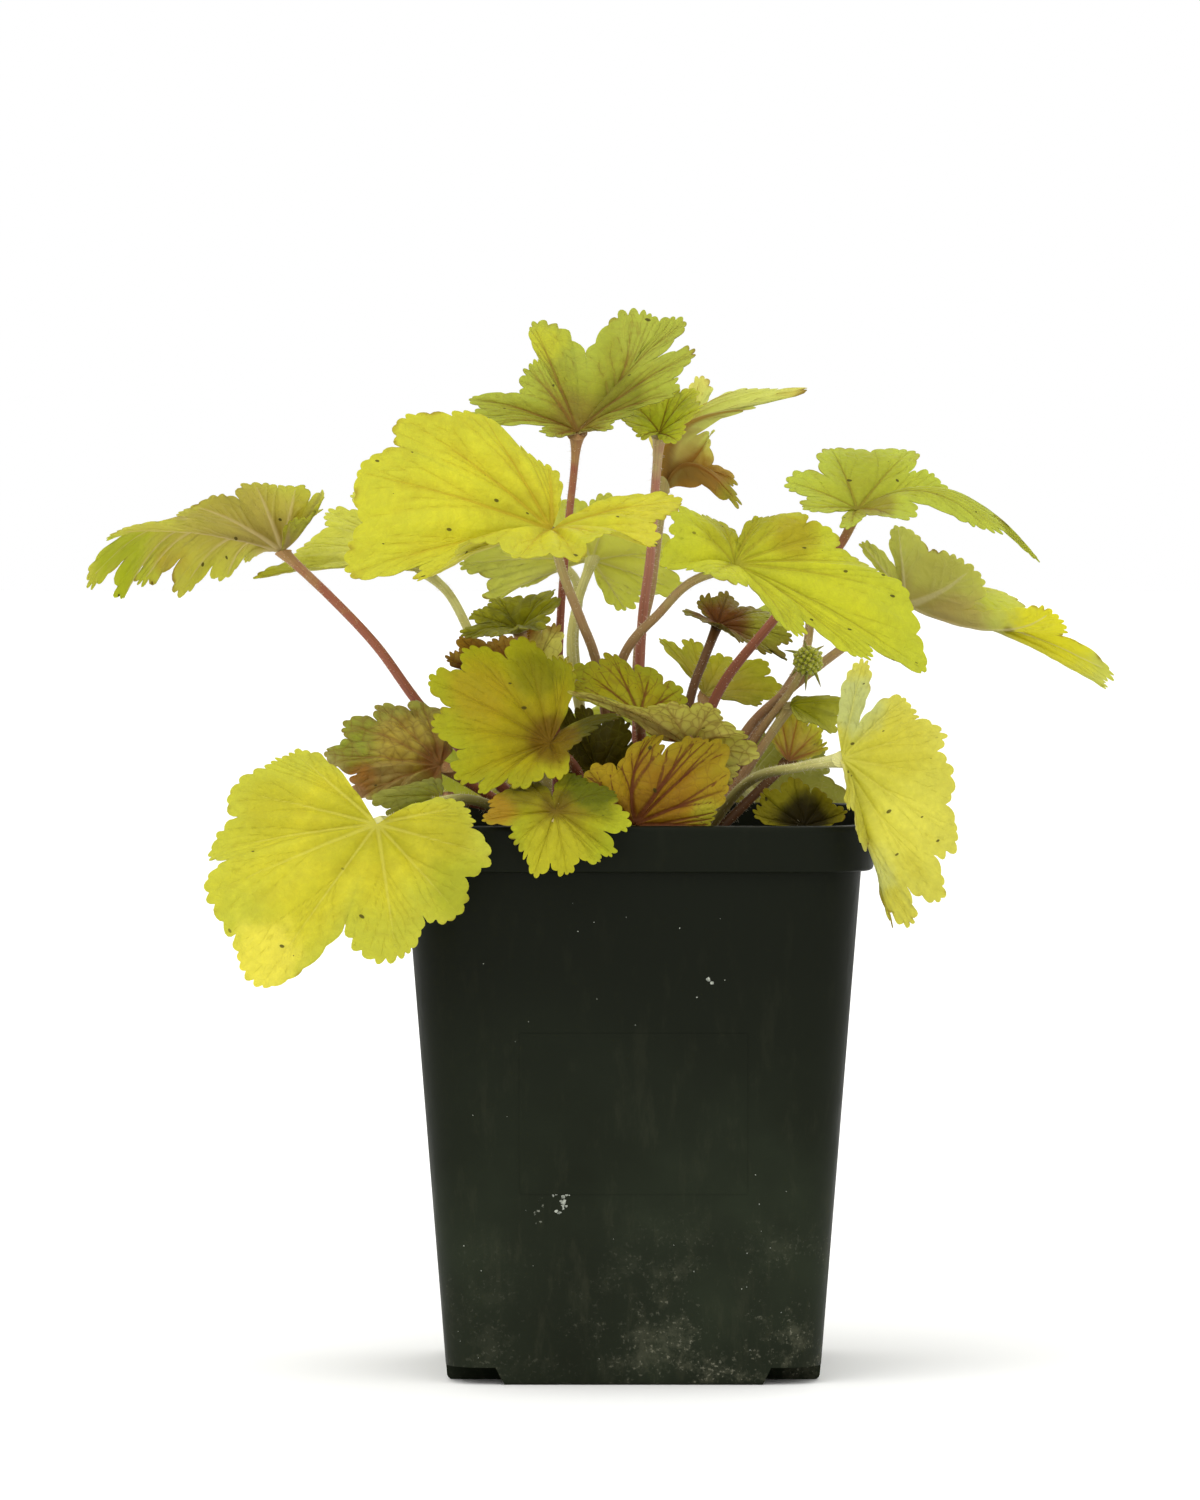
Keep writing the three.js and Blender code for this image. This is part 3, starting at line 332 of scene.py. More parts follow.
        veins=[(-4, -1, 6), (-2.3, 0, 13), (2.8, 1, 12.6), (7.7, 0, 7.7), (8.4, -1, 3)], size=11,
        pitch=4, seed=25,
        # its stalk takes the dark shades as painted shade, as it stands in shadow under low_right
        slot="leaf_olive", petiole="dark", bold=1.4,
    ),
    right_hood=dict(
        at=(39, -36, 127.5), base=(12, -4, 118),
        veins=[(-10.5, -4, 3), (-10, -2, 8), (-2.3, 0, 10.5), (5, -1, 8), (8.5, -4, 3.5)],
        arch=-0.1, size=10, pitch=4, seed=26,
        slot="leaf_olive",
    ),
    inner=dict(
        at=(-8, -20, 138), base=(-2, -6, 118),
        veins=[(-9, -2, 3), (-9, 0, 16), (-3, 0, 16), (6, -8, 13), (10, -5, 5)], size=10, pitch=5,
        seed=27,
        slot="leaf_olive",
    ),
    back_left=dict(
        at=(-31, 63, 132), base=(-10, 12, 118), via=[(-24, 42, 137)], tip=(-0.4, 0.35, -0.9),
        face=(-0.1, 1, 0.3), size=30, seed=28,
        petiole="tan",
    ),
    back_right=dict(
        at=(27, 64, 131), base=(8, 14, 118), via=[(20, 42, 135)], tip=(0.5, 0.3, -0.8),
        face=(0.1, 1, 0.2), size=27, seed=29,
        petiole="pale",
    ),
    back_middle=dict(
        at=(-4, 45, 151), base=(-2, 14, 118), via=[(-2, 34, 134)], tip=(0.1, 1, 0.15),
        face=(0, -0.1, 1), size=24, droop=20, seed=30,
        petiole="tan",
    ),
    high_left=dict(
        at=(-40, 56, 196), base=(-8, 8, 118), via=[(-14, 30, 166), (-14, 45, 182), (-26, 53, 189)],
        tip=(-0.5, 0.9, -0.1), face=(-0.2, 0.3, 1), size=27, seed=31,
        petiole="pale",
    ),
    high_right=dict(
        at=(42, 46, 178), base=(10, 8, 118), via=[(31, 18, 150), (40, 32, 164)], tip=(0.3, 0.9, 0),
        face=(0.1, 0.3, 1), size=26, droop=18, seed=32,
        petiole="tan",
    ),
)


# ---------------------------------------------------------------- the looks of the leaves
#
# ground: colours from the petiole to the edge. main and side: vein colours. veined: how strong the
# main veins, the side veins and the fine net show. halo: a stain round the main veins and its
# strength. under and under_vein: the lower side, and ribbed: how strong its main and side veins show.
# shaded: painted shade beside the raised main veins of the lower side, and its strength. puckered: how
# much the borders of the net's cells are darkened in the veins' colour, painted shade in the creases
# of a puckered blade that also draws its net of veins. specks: how many dark specks. blotch: large
# patches and their strength. glow: how much light passes through. patches: tints about a place, as
# ((x, y, z) from the petiole in mm, radius, colour, strength), some of them painted shade. Each leaf
# states what differs from LOOK.

LOOK = dict(
    ground=("#b4b736", "#bdc236", "#b6c03a"), main="#a3983a", side="#9c9a30", veined=(0.45, 0.3, 0.12),
    halo=("#8e8a2c", 0.12), under="#c6c670", under_vein="#cfca98", specks=0.15,
    blotch=("#8c7a24", 0.12), glow=0.45, patches=(),
    ribbed=(0.75, 0.45), shaded=("#9c8c40", 0.25), puckered=0,
)
YELLOW = dict(
    ground=("#bcb82a", "#cfca36", "#c2c638"), main="#dad56c", side="#aea42a", veined=(0.5, 0.25, 0.08),
    halo=("#b8ac28", 0.15), under="#cdc962", under_vein="#ddd696", specks=0.2, blotch=("#b4a424", 0.2),
)
DARK_VEINED = dict(main="#7a4522", side="#82562a", veined=(0.8, 0.5, 0.3))
LEAF_LOOKS = dict(
    front_left=dict(
        YELLOW, ground=("#bcb82c", "#d2cc3c", "#c6c646"), veined=(0.4, 0.22, 0.05),
        patches=[
            ((-25, -2, -30), 9, "#e4dc5e", 0.8), ((20, -3, -14), 8, "#b3b626", 0.5),
            ((16, -2, -2), 6, "#b6b028", 0.5), ((-24, 4, 4), 7, "#bcb62c", 0.5),
        ],
    ),
    far_left=dict(
        ground=("#b4a850", "#c0b852", "#c2c446"), main="#b5a47c", side="#8f8440",
        under="#cfcb6e", under_vein="#dacda4", ribbed=(0.55, 0.08), veined=(0.7, 0.35, 0),
        glow=0.5, shaded=("#94804a", 0.6),
        patches=[
            ((-34, -4, -12), 11, "#b9c02e", 0.8), ((-18, 2, -9), 8, "#c0be34", 0.7),
            ((-39, 4, 2), 7, "#b5bd28", 0.6), ((-12, 0, 10), 13, "#b4a660", 0.5),
            ((-26, 6, -4), 5, "#b8983a", 0.5),
        ],
    ),
    upper_left=dict(
        YELLOW, ground=("#c8c83a", "#d6d33c", "#cac940"), main="#bda02e", side="#b9a62a",
        halo=("#b39a28", 0.3), specks=0.6, patches=[((26, 2, -2), 10, "#dcd54c", 0.6)],
    ),
    top=dict(
        DARK_VEINED, ground=("#96942a", "#a2a62e", "#b2ba44"), halo=("#84602a", 0.3),
        under="#a09a50", glow=0.38, specks=0.35, veined=(0.5, 0.25, 0.12),
        patches=[
            ((0, -4, 4), 7, "#84682e", 0.4), ((16, 8, 24), 9, "#b2b84c", 0.6),
            ((-8, 8, 22), 6, "#c4c432", 0.8), ((10, 0, 8), 6, "#80821c", 0.7),
        ],
    ),
    top_front=dict(
        DARK_VEINED, ground=("#bcc22c", "#c4cb34", "#cacc44"), blotch=("#848c26", 0.4),
        veined=(0.6, 0.35, 0.15),
    ),
    top_back=dict(
        DARK_VEINED, ground=("#c4bc70", "#cac678", "#cccc80"), under="#ded07c",
        under_vein="#9a6a28", halo=("#7a4c24", 0.2), glow=0.55, ribbed=(0.7, 0.2),
        veined=(0.4, 0.15, 0),
        patches=[
            ((18, 4, 20), 14, "#ccd080", 0.8), ((9, -3, 0), 9, "#9c6c14", 0.75),
            ((18, -5, -3), 6, "#a8a838", 0.7),
        ],
    ),
    right=dict(
        ground=("#c2c430", "#cfd034", "#c4c83c"), main="#a08f2c", side="#a39a2a",
        specks=0.6, under="#c8c76a", veined=(0.4, 0.2, 0.08),
        patches=[((2, 2, 12), 9, "#a8a41e", 0.8), ((14, 0, 8), 7, "#ac9c1c", 0.7)],
    ),
    upper_right=dict(
        DARK_VEINED, ground=("#b2b83a", "#babe40", "#bcc44c"), blotch=("#8c7024", 0.2),
        veined=(0.35, 0.1, 0.02), specks=0.8,
        patches=[((2, 0, 12), 9, "#a4a82a", 0.5), ((4, -6, 1), 5, "#8c7428", 0.5)],
    ),
    far_right=dict(
        ground=("#b5ba50", "#c4c848", "#d2d44a"), under="#caca84", under_vein="#d8d0ae",
        veined=(0.6, 0.35, 0), ribbed=(0.5, 0.06), specks=0.3, glow=0.5,
        shaded=("#9c8850", 0.55),
        patches=[
            ((34, -6, -7), 11, "#dcd83e", 0.95), ((6, -4, 5), 9, "#b1a860", 0.4),
            ((24, -2, -6), 1.4, "#8c7c34", 0.8), ((12, -2, -4), 7, "#b49c6c", 0.5),
        ],
    ),
    low_right=dict(
        YELLOW, ground=("#c6c44c", "#d0cc54", "#d0cc5c"), specks=1.0, under="#c9c768",
        veined=(0.2, 0.12, 0), halo=("#b8ac28", 0.05),
        patches=[
            ((3, 2, 12), 7, "#c4c884", 0.9), ((4, 0, -26), 8, "#c8ca84", 0.8),
            ((12, -4, 4), 8, "#c4bc34", 0.4), ((14, -2, -16), 9, "#dcd864", 0.5),
        ],
    ),
    middle_left=dict(
        ground=("#96860e", "#b6aa14", "#b0b01e"), main="#8c6420", side="#8a7a1c",
        veined=(0.14, 0.08, 0.02), halo=("#8c6414", 0.1), blotch=("#8a7a16", 0.2),
        patches=[
            # the dark patches on the right wing and at the top are painted shade
            ((13, -3, 5), 9, "#5c580c", 0.95), ((-3, 0, 17), 7, "#86820f", 0.7),
            ((2, -8, -11), 7, "#bcb41e", 0.7), ((-16, -4, 12), 8, "#b49c20", 0.6),
            ((1, -3, 1), 6, "#76540e", 0.75),
        ],
    ),
    middle_right=dict(
        DARK_VEINED, ground=("#928a22", "#a09a2c", "#9ca02c"), under="#e8e07c",
        under_vein="#94783c", veined=(0.8, 0.7, 0.6), ribbed=(0.5, 0.4), glow=0.5,
        puckered=0.18,
    ),
    middle_back=dict(
        DARK_VEINED, ground=("#c4c238", "#b4ac1a", "#acac2a"), veined=(0.8, 0.6, 0.3),
        blotch=("#a8821e", 0.35),
    ),
    amber=dict(
        ground=("#a07c16", "#aa8618", "#b09c20"), main="#6c3a1a", side="#74441e",
        veined=(0.95, 0.85, 0.25), halo=("#8c5a18", 0.45), under="#a8904c",
        blotch=("#a07414", 0.3),
        patches=[((17, 0, 2), 4, "#b8b432", 0.8), ((-4, -2, 12), 6, "#b89c1c", 0.6)],
    ),
    front=dict(
        ground=("#8c7c10", "#b0ac18", "#b8bc28"), main="#7c5a18", side="#86701a",
        halo=("#7c6016", 0.1), blotch=("#8c741a", 0.25), veined=(0.12, 0.06, 0.02),
        patches=[
            ((9, 8, 6), 8, "#6a700c", 0.95), ((0, -6, -9), 8, "#c6c02c", 0.8),
            ((-13, 4, 0), 5, "#b08420", 0.8), ((-7, 6, 6), 6, "#7c6e10", 0.85),
            ((0, 0, 3), 4, "#6a5210", 0.6),
        ],
    ),
    left_low=dict(
        ground=("#b4a444", "#b8ac48", "#a8a84c"), main="#94603c", side="#8a7038",
        veined=(0.35, 0.25, 0.3), under="#9c8f5c", under_vein="#a87c64", halo=("#946838", 0.25),
        puckered=0.35,
        patches=[
            ((-20, 0, 6), 8, "#a2aa40", 0.85), ((-27, 0, -3), 6, "#b4ac7c", 0.85),
            ((-18, -2, -3), 4, "#a0642a", 0.8), ((-22, -4, -10), 6, "#b4967c", 0.85),
            ((-9, 0, 6), 7, "#ccbe58", 0.85), ((-10, -2, -5), 6, "#a8945c", 0.75),
            ((0, 0, 1), 5, "#84482a", 0.75),
        ],
    ),
    left_curl=dict(
        ground=("#a09c30", "#9ca03c", "#a8a850"), under="#a09c54", side="#74702c",
        puckered=0.3,
    ),
    small_dark=dict(
        ground=("#949206", "#9e9c10", "#b0ae22"), main="#6c6414", side="#56560a",
        under="#84842c", blotch=("#5c5a0c", 0.5), puckered=0.3,
    ),
    brown=dict(
        ground=("#703404", "#884404", "#a08028"), main="#5c2a0c", side="#6c3a14",
        veined=(0.5, 0.3, 0.2), under="#b89454", blotch=("#ccac48", 0.4),
        patches=[((14, 0, 6), 11, "#e6e488", 0.95), ((-10, 0, 2), 7, "#542a06", 0.9)],
    ),
    pale_back=dict(
        ground=("#bcbe62", "#c6c874", "#c2c668"), main="#b4b074", side="#b2b068",
        under="#dede88", glow=0.55,
    ),
    left_back=dict(ground=("#c0be50", "#cccb64", "#caca52")),
    dark_red=dict(
        ground=("#5e2c06", "#683606", "#7c6c1a"), main="#4c260c", side="#54300e",
        under="#8c8438", blotch=("#7c7c20", 0.2), glow=0.22,
        patches=[((13, 0, 0), 6, "#9a9a2c", 0.9), ((-9, 0, 0), 4, "#8c8c2c", 0.8)],
    ),
    right_back=dict(ground=("#ccc47c", "#c8be5c", "#bebc46"), under="#c6c470", glow=0.55),
    right_small=dict(ground=("#a8aa1c", "#a2a224", "#bcbc50"), main="#80861e"),
    right_upright=dict(
        ground=("#d4c474", "#dcd06c", "#d8d85c"), main="#b06c54", side="#b0845c",
        veined=(0.6, 0.3, 0.1), halo=("#b06c58", 0.4), glow=0.55,
    ),
    # right_hood: the dark ground, lower side and centre patch are painted shade inside the cupped blade
    right_hood=dict(
        ground=("#241c06", "#4c440c", "#a0961e"), under="#4e4a18", main="#3c320c",
        side="#3c340c", halo=("#2c220a", 0.1), veined=(0.15, 0.05, 0),
        patches=[((-6, -2, 9), 5, "#a49c22", 0.8), ((0, -2, 3), 5, "#302808", 0.8)],
    ),
    # inner: its dark colours are painted shade of a blade deep among the others
    inner=dict(ground=("#3c340c", "#4c440e", "#5c5612"), main="#3c300e"),
    back_right=dict(ground=("#787018", "#807c1c", "#888824")),
)


# ---------------------------------------------------------------- small helpers


def dice(seed, n):
    """A repeatable number from 0 to 1 for the n-th choice of a seed."""
    x = math.sin(seed * 12.9898 + n * 78.233) * 43758.5453
    return x - math.floor(x)


def unit(v):
    return v / np.linalg.norm(v)


def lerp(a, b, share):
    return a + (b - a) * share


def smooth(x, low, high):
    """0 below low, 1 above high, and smooth between them."""
    share = np.clip((x - low) / (high - low), 0, 1)
    return share * share * (3 - 2 * share)


def add_object(name, data):
    made = bpy.data.objects.new(name, data)
    bpy.context.scene.collection.objects.link(made)
    return made


def solid_mesh(name, points, faces, materials, maps=None, kinds=None, crisp=60):
    """A shaded object from points in millimetres, its faces, UV maps by point and materials by face."""
    mesh = bpy.data.meshes.new(name)
    mesh.from_pydata((np.asarray(points) * MM).tolist(), [], [list(map(int, f)) for f in faces])
    mesh.validate()
    for key, values in (maps or {}).items():
        layer = mesh.uv_layers.new(name=key, do_init=False)
        corner = np.empty(len(mesh.loops), dtype=np.int32)
        mesh.loops.foreach_get("vertex_index", corner)
        layer.data.foreach_set("uv", np.asarray(values, dtype=np.float32)[corner].ravel())
    for material in materials:
        mesh.materials.append(material)
    if kinds is not None:
        mesh.polygons.foreach_set("material_index", np.asarray(kinds, dtype=np.int32))
    mesh.shade_smooth()
    mesh.set_sharp_from_angle(angle=math.radians(crisp))
    return add_object(name, mesh)


def place(piece, slot, *nodes):
    """The piece rides on the plant and stands for the CAD nodes, if any; slot is not used."""
    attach(piece, "root")
    if nodes:
        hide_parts(*nodes)


class Build:
    """Points, faces, UV values and material numbers that are gathered into one mesh."""

    def __init__(self):
        self.points, self.faces, self.maps, self.kinds = [], [], [], []
        self.count = 0

    def add(self, points, faces, kind=0, uv=None):
        points = np.asarray(points, dtype=float)
        self.points.append(points)
        self.faces.extend([[i + self.count for i in f] for f in faces])
        self.kinds.extend([kind] * len(faces))
        self.maps.append(np.zeros((len(points), 2)) if uv is None else np.asarray(uv, dtype=float))
        self.count += len(points)

    def finish(self, name, materials, crisp=60):
        return solid_mesh(
            name, np.vstack(self.points), self.faces, materials,
            {"run": np.vstack(self.maps)}, self.kinds, crisp,
        )


def loft(rings):
    """The points and faces of a closed solid: quads between rings of equally many points, and a fan
    at each end."""
    rings = np.asarray(rings, dtype=float)
    points = np.vstack([rings.reshape(-1, 3), rings[0].mean(axis=0), rings[-1].mean(axis=0)])
    height, count = rings.shape[:2]
    faces = []
    for k in range(height - 1):
        for i in range(count):
            a = k * count + i
            b = k * count + (i + 1) % count
            faces.append((a, b, b + count, a + count))
    first, last = height * count, height * count + 1
    top = (height - 1) * count
    for i in range(count):
        j = (i + 1) % count
        faces.append((first, j, i))
        faces.append((last, top + i, top + j))
    return points, faces


def run_along(path):
    """The length of the path up to each of its points."""
    return np.concatenate([[0], np.cumsum(np.linalg.norm(np.diff(path, axis=0), axis=1))])


def ways_along(path):
    ways = np.gradient(path, axis=0)
    return ways / np.linalg.norm(ways, axis=1, keepdims=True)


def smooth_path(points, steps):
    """Points along the centripetal Catmull-Rom curve through the given points."""
    points = [np.asarray(p, dtype=float) for p in points]
    points = [2 * points[0] - points[1], *points, 2 * points[-1] - points[-2]]
    dense = []
    for p0, p1, p2, p3 in zip(points, points[1:], points[2:], points[3:]):
        d0, d1, d2 = (math.sqrt(np.linalg.norm(b - a)) for a, b in ((p0, p1), (p1, p2), (p2, p3)))
        t1 = ((p1 - p0) / d0 - (p2 - p0) / (d0 + d1) + (p2 - p1) / d1) * d1
        t2 = ((p2 - p1) / d1 - (p3 - p1) / (d1 + d2) + (p3 - p2) / d2) * d1
        for t in np.linspace(0, 1, 24, endpoint=False):
            dense.append(
                (2 * t**3 - 3 * t**2 + 1) * p1 + (t**3 - 2 * t**2 + t) * t1
                + (3 * t**2 - 2 * t**3) * p2 + (t**3 - t**2) * t2
            )
    dense = np.array([*dense, points[-2]])
    length = run_along(dense)
    spots = np.linspace(0, length[-1], steps + 1)
    return np.column_stack([np.interp(spots, length, dense[:, axis]) for axis in range(3)])


def frames_along(path):
    """Two directions across the path at each of its points, which turn as little as they can."""
    ways = ways_along(path)
    side = unit(np.cross(ways[0], (0.3, 1, 0.2)))
    sides = []
    for way in ways:
        side = unit(side - way * (side @ way))
        sides.append(side)
    sides = np.array(sides)
    return sides, np.cross(ways, sides)


def tube(path, radii, sides, groove=0.0):
    """The points, faces and UV values of a closed tube, with a groove along one side."""
    across, over = frames_along(path)
    angles = 2 * np.pi * np.arange(sides) / sides
    dent = 1 - groove * np.exp(-((np.minimum(angles, 2 * np.pi - angles) / 0.5) ** 2))
    rings = [
        path[k] + radii[k] * (
            np.outer(np.cos(angles) * dent, across[k]) + np.outer(np.sin(angles) * dent, over[k])
        )
        for k in range(len(path))
    ]
    points, faces = loft(rings)
    shares = np.linspace(0, 1, len(path))
    uv = np.array([(share, i / sides) for share in shares for i in range(sides)] + [(0, 0), (1, 0)])
    return points, faces, uv


def hairs(build, path, radii, count, length, kind, seed, thick=0.045):
    """Short tapered hairs that stand out all round a stalk."""
    rng = np.random.default_rng(seed)
    across, over = frames_along(path)
    ways = ways_along(path)
    for _ in range(count):
        at = rng.uniform(0, len(path) - 1.001)
        k, f = int(at), at % 1
        angle = rng.uniform(0, 2 * np.pi)
        out = unit(across[k] * math.cos(angle) + over[k] * math.sin(angle))
        root = lerp(path[k], path[k + 1], f) + out * lerp(radii[k], radii[k + 1], f) * 0.9
        tip = root + (out + ways[k] * rng.uniform(-0.45, 0.45)) * length * rng.uniform(0.5, 1.3)
        turn = np.cross(out, ways[k])
        corners = [
            root + thick * (math.cos(a) * ways[k] + math.sin(a) * turn) for a in (0, 2.1, 4.2)
        ]
        build.add([*corners, tip], [(0, 1, 2), (0, 3, 1), (1, 3, 2), (2, 3, 0)], kind)


# ---------------------------------------------------------------- the form of a leaf blade
#
# A blade is spanned by its main veins, which all start at the petiole. A place on it is given by u,
# which runs across the veins (vein k lies at u = k, the notch beside it at k + 0.5), and by reach,
# which runs from 0 at the petiole to 1 at the tip of a vein.


class Leaf:
    def __init__(self, name, given):
        self.name = name
        for key, value in {**DEFAULTS, **given}.items():
            setattr(self, key, value)
        self.origin = np.array(self.at, dtype=float)
        tips = [np.array(v, dtype=float) for v in self.veins] if self.veins else self.fan()
        self.lobes = len(tips)
        ribs = [mirrored(tips[1], tips[0]), *tips, mirrored(tips[-2], tips[-1])]
        bows, axis = [], np.zeros(3)
        for n in range(len(ribs)):
            k = min(max(n, 1), self.lobes)
            up = unit(np.cross(ribs[k + 1] - ribs[k - 1], ribs[k]))
            axis += up
            bows.append(up * self.arch * np.linalg.norm(ribs[n]) + self.bows.get(n - 1, (0, 0, 0)))
        self.face_axis = unit(axis)
        self.ribs, self.bends = np.array(ribs), np.array(bows)
        self.lengths = np.linalg.norm(self.ribs, axis=1)
        turns = [
            math.acos(np.clip(unit(a) @ unit(b), -1, 1)) for a, b in zip(self.ribs, self.ribs[1:])
        ]
        self.angles = np.concatenate([[0], np.cumsum(turns)])

    def fan(self):
        """The veins of a leaf that is given by its midrib, its facing, its spread and its droop."""
        tip = unit(np.array(self.tip, dtype=float))
        face = np.array(self.face, dtype=float)
        face = unit(face - tip * (face @ tip))
        side = np.cross(tip, face)
        half = (len(FAN_LENGTHS) - 1) / 2
        veins = []
        for k, length in enumerate(FAN_LENGTHS):
            angle = math.radians(self.spread * (k - half) / half + 12 * (dice(self.seed, k) - 0.5))
            droop = math.radians(self.droop * (0.6 + 0.8 * dice(self.seed, k + 9)))
            flat = tip * math.cos(angle) + side * math.sin(angle)
            veins.append((flat * math.cos(droop) - face * math.sin(droop)) * self.size * length)
        return veins

    def sheet(self, u, reach):
        """Points of the smooth sheet through the veins."""
        k = np.clip(np.floor(u), -1, self.lobes - 1).astype(int)
        f = u - k
        weights = (
            (-f + 2 * f**2 - f**3) / 2,
            (2 - 5 * f**2 + 3 * f**3) / 2,
            (f + 4 * f**2 - 3 * f**3) / 2,
            (f**3 - f**2) / 2,
        )
        points = np.tile(self.origin, (len(u), 1))
        for n, weight in enumerate(weights):
            rib = np.clip(k + n, 0, len(self.ribs) - 1)
            points += self.ribs[rib] * (weight * reach)[:, None]
            points += self.bends[rib] * (weight * 4 * reach * (1 - reach))[:, None]
        return points

    def blade(self, u, reach):
        """Points of the blade's middle surface, and the direction that its upper side faces there."""
        points = self.sheet(u, reach)
        r = np.maximum(reach, 0.02)
        across = self.sheet(u + 0.02, r) - self.sheet(u - 0.02, r)
        along = self.sheet(u, r + 0.01) - self.sheet(u, r - 0.01)
        up = np.cross(across, along)
        up /= np.linalg.norm(up, axis=1, keepdims=True)
        puff = self.puff * self.size * reach * (1 - 0.6 * reach) * np.sin(np.pi * u) ** 2
        ruffle = self.ruffle * reach**3 * np.sin(self.waves * u + 6 * dice(self.seed, 1))
        return points + up * (puff + ruffle)[:, None], up

    def floor(self, k, side):
        """How far out the notch beside vein k lies."""
        if not 0 <= k + side < self.lobes:
            return self.sinus
        return 1 - (self.cut[k - 1 if side < 0 else k] if isinstance(self.cut, list) else self.cut)

    def outline(self, steps):
        """Places (u, reach) round the edge, and the tips of the teeth as (vein, share, u, reach)."""
        places, teeth = [], []
        for k in range(self.lobes):
            length = self.lengths[k + 1]
            width = np.linalg.norm(self.ribs[k + 2] - self.ribs[k]) / 2
            low, high = self.floor(k, -1), self.floor(k, 1)

            def spot(share):
                off = 2 * share - 1
                notch = low if off < 0 else high
                return k + off / 2, notch + (1 - notch) * (1 - abs(off) ** self.round)

            run = width + (2 - low - high) * length
            count = max(2, math.floor(run / self.pitch / TOOTH_SHARE + 0.5))
            ends = np.arange(count + 1) / count
            ends[1:-1] += [(dice(self.seed + 5 * k, n) - 0.5) * 0.5 / count for n in range(count - 1)]
            for i in range(count * steps):
                n, step = divmod(i, steps)
                share = lerp(ends[n], ends[n + 1], step / steps)
                u, reach = spot(share)
                u0, reach0 = spot(max(share - 0.01, 0))
                u1, reach1 = spot(min(share + 0.01, 1))
                run, climb = (u1 - u0) * width, (reach1 - reach0) * length
                big = 0.35 + 1.1 * dice(self.seed + 3 * k, n)
                crest = math.sin(math.pi * step / steps) ** 0.8
                lift = self.tooth * big * (crest - 0.4)
                slant = math.hypot(run, climb)
                places.append((u - lift * climb / slant / width, reach + lift * run / slant / length))
                if step == steps // 2:
                    teeth.append((k, share, *places[-1]))
        places.append((self.lobes - 0.5, self.sinus))
        return np.array(places), teeth

    def flat(self, u, reach):
        """The place in the plane of the unrolled blade, in millimetres."""
        spots = np.asarray(u, dtype=float) + 1
        angle = np.interp(spots, np.arange(len(self.angles)), self.angles)
        far = np.interp(spots, np.arange(len(self.lengths)), self.lengths) * reach
        return np.stack([far * np.cos(angle), far * np.sin(angle)], axis=-1)


def mirrored(vein, other):
    """The vein reflected across the other one, with the other one's length."""
    way = unit(other)
    back = 2 * way * (vein @ way) - vein
    return unit(back) * np.linalg.norm(other)


def vein_lines(leaf, teeth):
    """The main and the side veins as pieces (start, end, half-width, half-width) in the plane."""
    wide = VEIN_WIDE * leaf.bold * (leaf.size / 40) ** 0.5
    main, side = [], []
    for k in range(leaf.lobes):
        spots = leaf.flat([k, k, k], np.array([0, 0.5, 0.97]))
        main.append((spots[0], spots[1], wide, 0.62 * wide))
        main.append((spots[1], spots[2], 0.62 * wide, 0.3 * wide))
    for n, (k, share, u, reach) in enumerate(teeth):
        off = 2 * share - 1
        if abs(off) < 0.12:
            continue
        foot = 1 - 0.72 * abs(off) ** 0.75 + 0.08 * (dice(leaf.seed, n + 40) - 0.5)
        ends = np.array([foot * 0.93, reach * 0.97])
        start, end = leaf.flat([k, u], ends)
        middle = (start + end) / 2 + 0.16 * (leaf.flat([k], np.array([1.0]))[0] - start) * abs(off)
        main_wide = wide * (1 - 0.6 * foot)
        last = start
        for t in (0.33, 0.66, 1):
            here = (1 - t) ** 2 * start + 2 * t * (1 - t) * middle + t * t * end
            side.append((last, here, main_wide * (0.7 - 0.4 * (t - 0.33)), main_wide * (0.7 - 0.45 * t)))
            last = here
        # a short branch towards the notch between two teeth
        fork = (1 - 0.6) ** 2 * start + 2 * 0.6 * 0.4 * middle + 0.36 * end
        away = end - fork
        turned = np.array([away[1], -away[0]]) * (0.55 if off > 0 else -0.55)
        side.append((fork, fork + 0.8 * away + turned * 0.8, 0.3 * main_wide, 0.16 * main_wide))
    return main, side


def distance_to(lines, spots):
    """The distance to the nearest line, and the same as a multiple of the line's half-width."""
    near = np.full(len(spots), 1e3)
    scaled = np.full(len(spots), 1e3)
    for start, end, wide_start, wide_end in lines:
        run = end - start
        t = np.clip((spots - start) @ run / (run @ run), 0, 1)
        gap = np.linalg.norm(spots - start - t[:, None] * run, axis=1)
        near = np.minimum(near, gap)
        scaled = np.minimum(scaled, gap / lerp(wide_start, wide_end, t))
    return near, scaled


def stitch(outer, outer_count, inner, inner_count):
    """Triangles between an outer and an inner row of points that span the same arc."""
    faces = []
    i = j = 0
    while i < outer_count or j < inner_count:
        take_outer = (i + 1) * inner_count <= (j + 0.5) * outer_count
        if j == inner_count or (i < outer_count and take_outer):
            faces.append((outer + i, inner + j, outer + i + 1))
            i += 1
        else:
            faces.append((outer + i, inner + j, inner + j + 1))
            j += 1
    return faces


